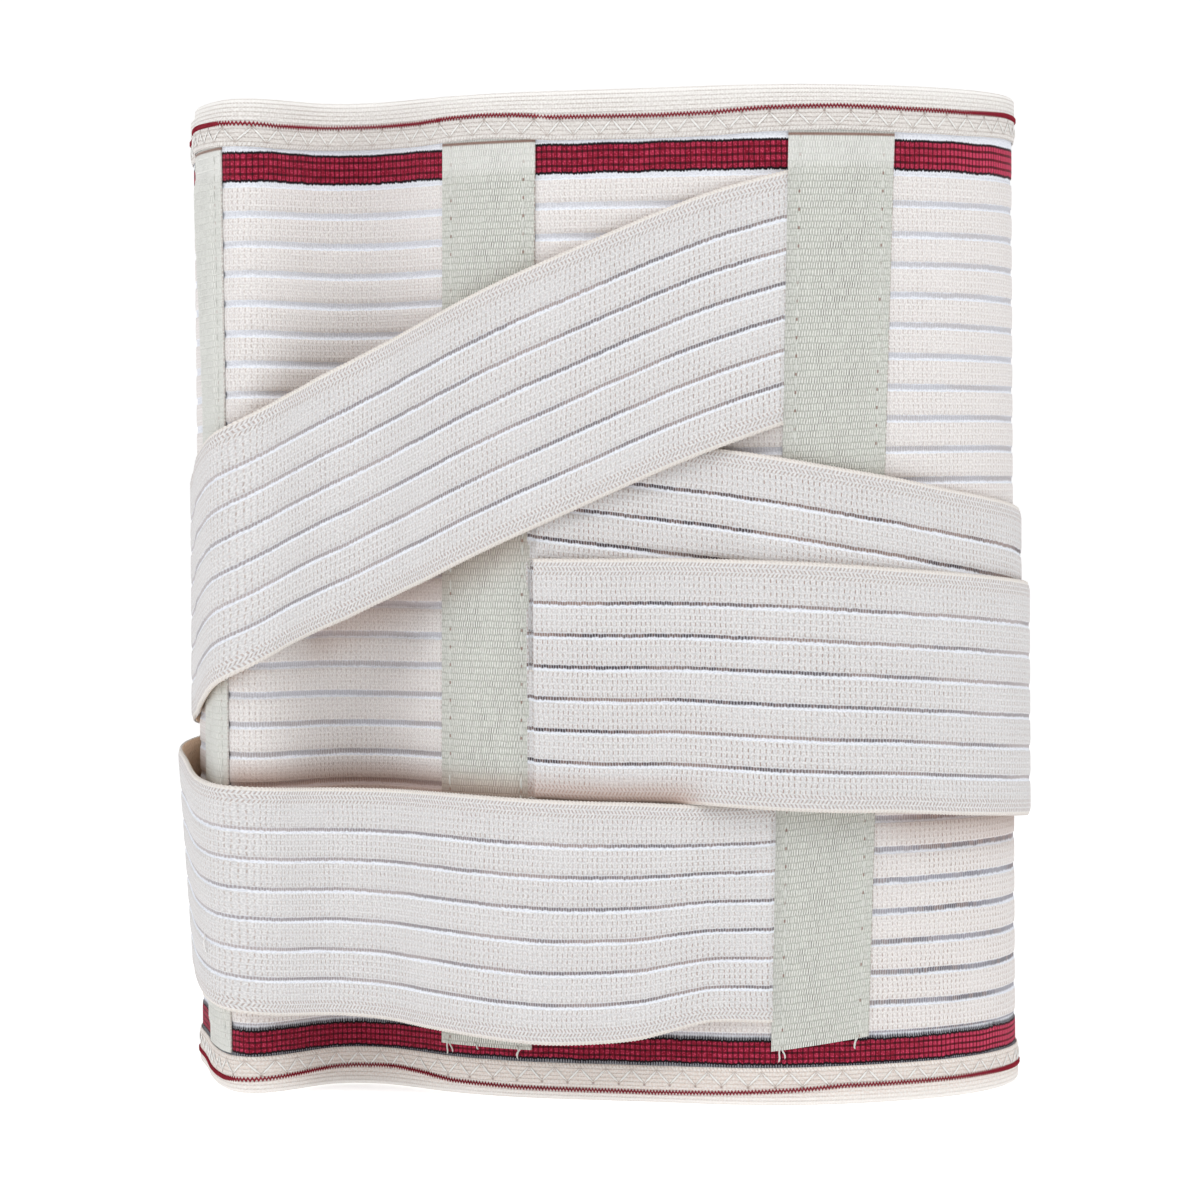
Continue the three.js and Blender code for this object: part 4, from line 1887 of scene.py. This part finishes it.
@dataclass
class Studio:
    """Floor, lights and camera."""

    camera_plan: tuple[float, float, float] = (0.0, -1050.0, 169.4)
    pitch_deg: float = -1.637
    roll: float = -0.0074
    focal_px: float = 3836.0
    frame_px: float = 1200.0
    sensor: float = 36.0

    def camera(self) -> None:
        """Set the camera where the photograph was taken from."""
        data = bpy.data.cameras.new("camera")
        data.sensor_width = self.sensor
        data.lens = self.focal_px / self.frame_px * self.sensor
        data.clip_start, data.clip_end = 0.01, 50.0
        camera = bpy.data.objects.new("camera", data)
        x, y, z = self.camera_plan
        turn = Euler((math.radians(90 + self.pitch_deg), 0, 0)).to_matrix()
        turn = turn @ Matrix.Rotation(self.roll, 3, "Z")
        spot = Vector(((x + PLAN_OFFSET[0]) * MM, (y + PLAN_OFFSET[1]) * MM, z * MM))
        camera.matrix_world = Matrix.Translation(spot) @ turn.to_4x4()
        bpy.context.scene.collection.objects.link(camera)
        bpy.context.scene.camera = camera

    def softbox(self, name: str, spot: tuple[float, float, float], size: float, power: float) -> None:
        """Hang a square light that faces the brace.

        Args:
            name: its name.
            spot: where it hangs, in metres.
            size: its side, in metres.
            power: its power, in watts.
        """
        data = bpy.data.lights.new(name, "AREA")
        data.size = size
        data.energy = power
        light = bpy.data.objects.new(name, data)
        aim = Vector((0, 0, HEIGHT / 2 * MM)) - Vector(spot)
        turn = aim.to_track_quat("-Z", "Y").to_matrix().to_4x4()
        light.matrix_world = Matrix.Translation(Vector(spot)) @ turn
        bpy.context.scene.collection.objects.link(light)

    def floor(self) -> None:
        """Lay a pale floor that curves up behind the brace."""
        bm = bmesh.new()
        bmesh.ops.create_grid(bm, x_segments=8, y_segments=48, size=0.5)
        for vert in bm.verts:
            run = (vert.co.y + 0.5) * 9.0 - 3.0
            bend = min(max(run - 2.5, 0) / 1.5, math.pi / 2)
            rest = max(run - 2.5 - 1.5 * math.pi / 2, 0)
            deep = min(run, 2.5) + 1.5 * math.sin(bend)
            vert.co = Vector((vert.co.x * 10, deep, 1.5 * (1 - math.cos(bend)) + rest))
        bench = Bench("floor", 0.95, 0.0)
        place = bench.node("ShaderNodeTexCoord")
        grain = bench.node("ShaderNodeTexNoise")
        grain.inputs["Scale"].default_value = 40.0
        bench.tree.links.new(place.outputs["Object"], grain.inputs["Vector"])
        grey = bench.blend(Field(bench, grain.outputs["Fac"]), (0.7, 0.7, 0.7), (0.72, 0.72, 0.72))
        bench.feed(bench.surface.inputs["Base Color"], grey)
        bench.surface.inputs["Emission Color"].default_value = (1, 1, 1, 1)
        bench.surface.inputs["Emission Strength"].default_value = 0.58
        floor = finish_mesh("floor", bm, bench.material)

    def build(self) -> None:
        """Set up the whole studio."""
        self.camera()
        self.floor()
        self.softbox("key", (1.5, -1.05, 1.5), 1.4, 12.6)
        self.softbox("left", (-1.7, -0.5, 0.7), 1.2, 8.2)
        self.softbox("top", (0.0, -0.7, 2.0), 1.2, 19.0)
        world = bpy.data.worlds.new("world")
        world.use_nodes = True
        world.node_tree.nodes["Background"].inputs["Color"].default_value = (1, 1, 1, 1)
        world.node_tree.nodes["Background"].inputs["Strength"].default_value = 0.4
        bpy.context.scene.world = world
        bpy.context.scene.view_settings.view_transform = "Standard"


# Painted shade in each strap's slits at its left and right ends
SLIT_SHADING_ENDS = {
    "strap_upper_left": (0.6, 0.85),
    "strap_upper_right": (1.0, 1.0),
    "strap_lower_right": (1.0, 0.62),
    "strap_lower_left": (0.58, 0.86),
}

BOWED_STRAPS = {"strap_lower_right": 0.45}

# Share of painted light on casings lit from the left
LIT_CASINGS = {"casing_left": 0.4}

# Places across a casing's foot, how far each thread hangs and how far it drifts aside
LOOSE_ENDS = {
    "casing_middle": ((2.6, 3.2, -0.6), (3.4, 2.4, 0.9), (11.5, 0.9, 1.6), (24.6, 2.8, 0.5),
                      (25.4, 2.0, -1.0)),
    "casing_right": ((2.8, 3.4, -0.9), (3.5, 2.6, 0.6), (25.2, 3.0, 0.4), (26.0, 2.2, -0.8)),
}

# Place along a strap, and across it, where a pulled thread starts and ends
SNAGS = {"strap_lower_left": ((-141.5, 20.5), (-138.5, 14.5))}


def main() -> None:
    """Build the studio and every piece of the brace, in order."""
    logging.basicConfig(level=logging.INFO, format="%(name)s: %(message)s")
    Studio().build()
    Panel().dress()
    bindings = (
        Binding("top_binding", Edge.TOP, TOP_BINDING + 0.9, 0.9, [row.head for row in CASINGS]),
        Binding("bottom_binding", Edge.BOTTOM, BOTTOM_BINDING + 0.6, 0.2, ridge_depth=0.3,
                tape_tone=tone(228, 217, 209)),
    )
    thread = SewingThread("sewing_thread").make()
    cord = SewingThread("line_cord", tone(150, 6, 40), tone(108, 3, 27)).make()
    for binding in bindings:
        binding.dress()
        LineCord(binding).dress(cord)
        ZigzagSeam(binding).dress(thread)
    tape_thread = SewingThread("casing_thread", tone(226, 227, 222), tone(196, 197, 190)).make()
    for row in CASINGS:
        casing = Casing(row, LIT_CASINGS.get(row.name, 0.0))
        casing.dress()
        StraightSeam(casing).dress(tape_thread)
        if row.name in LOOSE_ENDS:
            LooseThreads(casing, LOOSE_ENDS[row.name]).dress(tape_thread)
    groove_pitch = (STRAP_WIDTH - 2 * STRAP_EDGE_RIB) / (STRAP_GROOVES - 1)
    grooves = STRAP_EDGE_RIB - GROOVE_DROP, STRAP_WIDTH - STRAP_EDGE_RIB - GROOVE_DROP
    ribbed = RibbedElastic("elastic_strap", *grooves, groove_pitch, eyelet_pitch=1.4, selvage=4.6,
                           width=STRAP_WIDTH).make()
    picot = SewingThread("picot_yarn", tone(232, 226, 220), tone(198, 190, 182)).make()
    for name, rows in STRAPS.items():
        strap = Strap(name, rows, *SLIT_SHADING_ENDS[name], bow=BOWED_STRAPS.get(name, 1.0))
        strap.dress(ribbed)
        Picots(strap).dress(picot)
        if name in SNAGS:
            Snag(strap, *SNAGS[name]).dress(thread)
    pile = LoopPile("loop_pile").make()
    for row in FASTENINGS:
        Fastening(row).dress(pile)


if __name__ == "__main__":
    main()
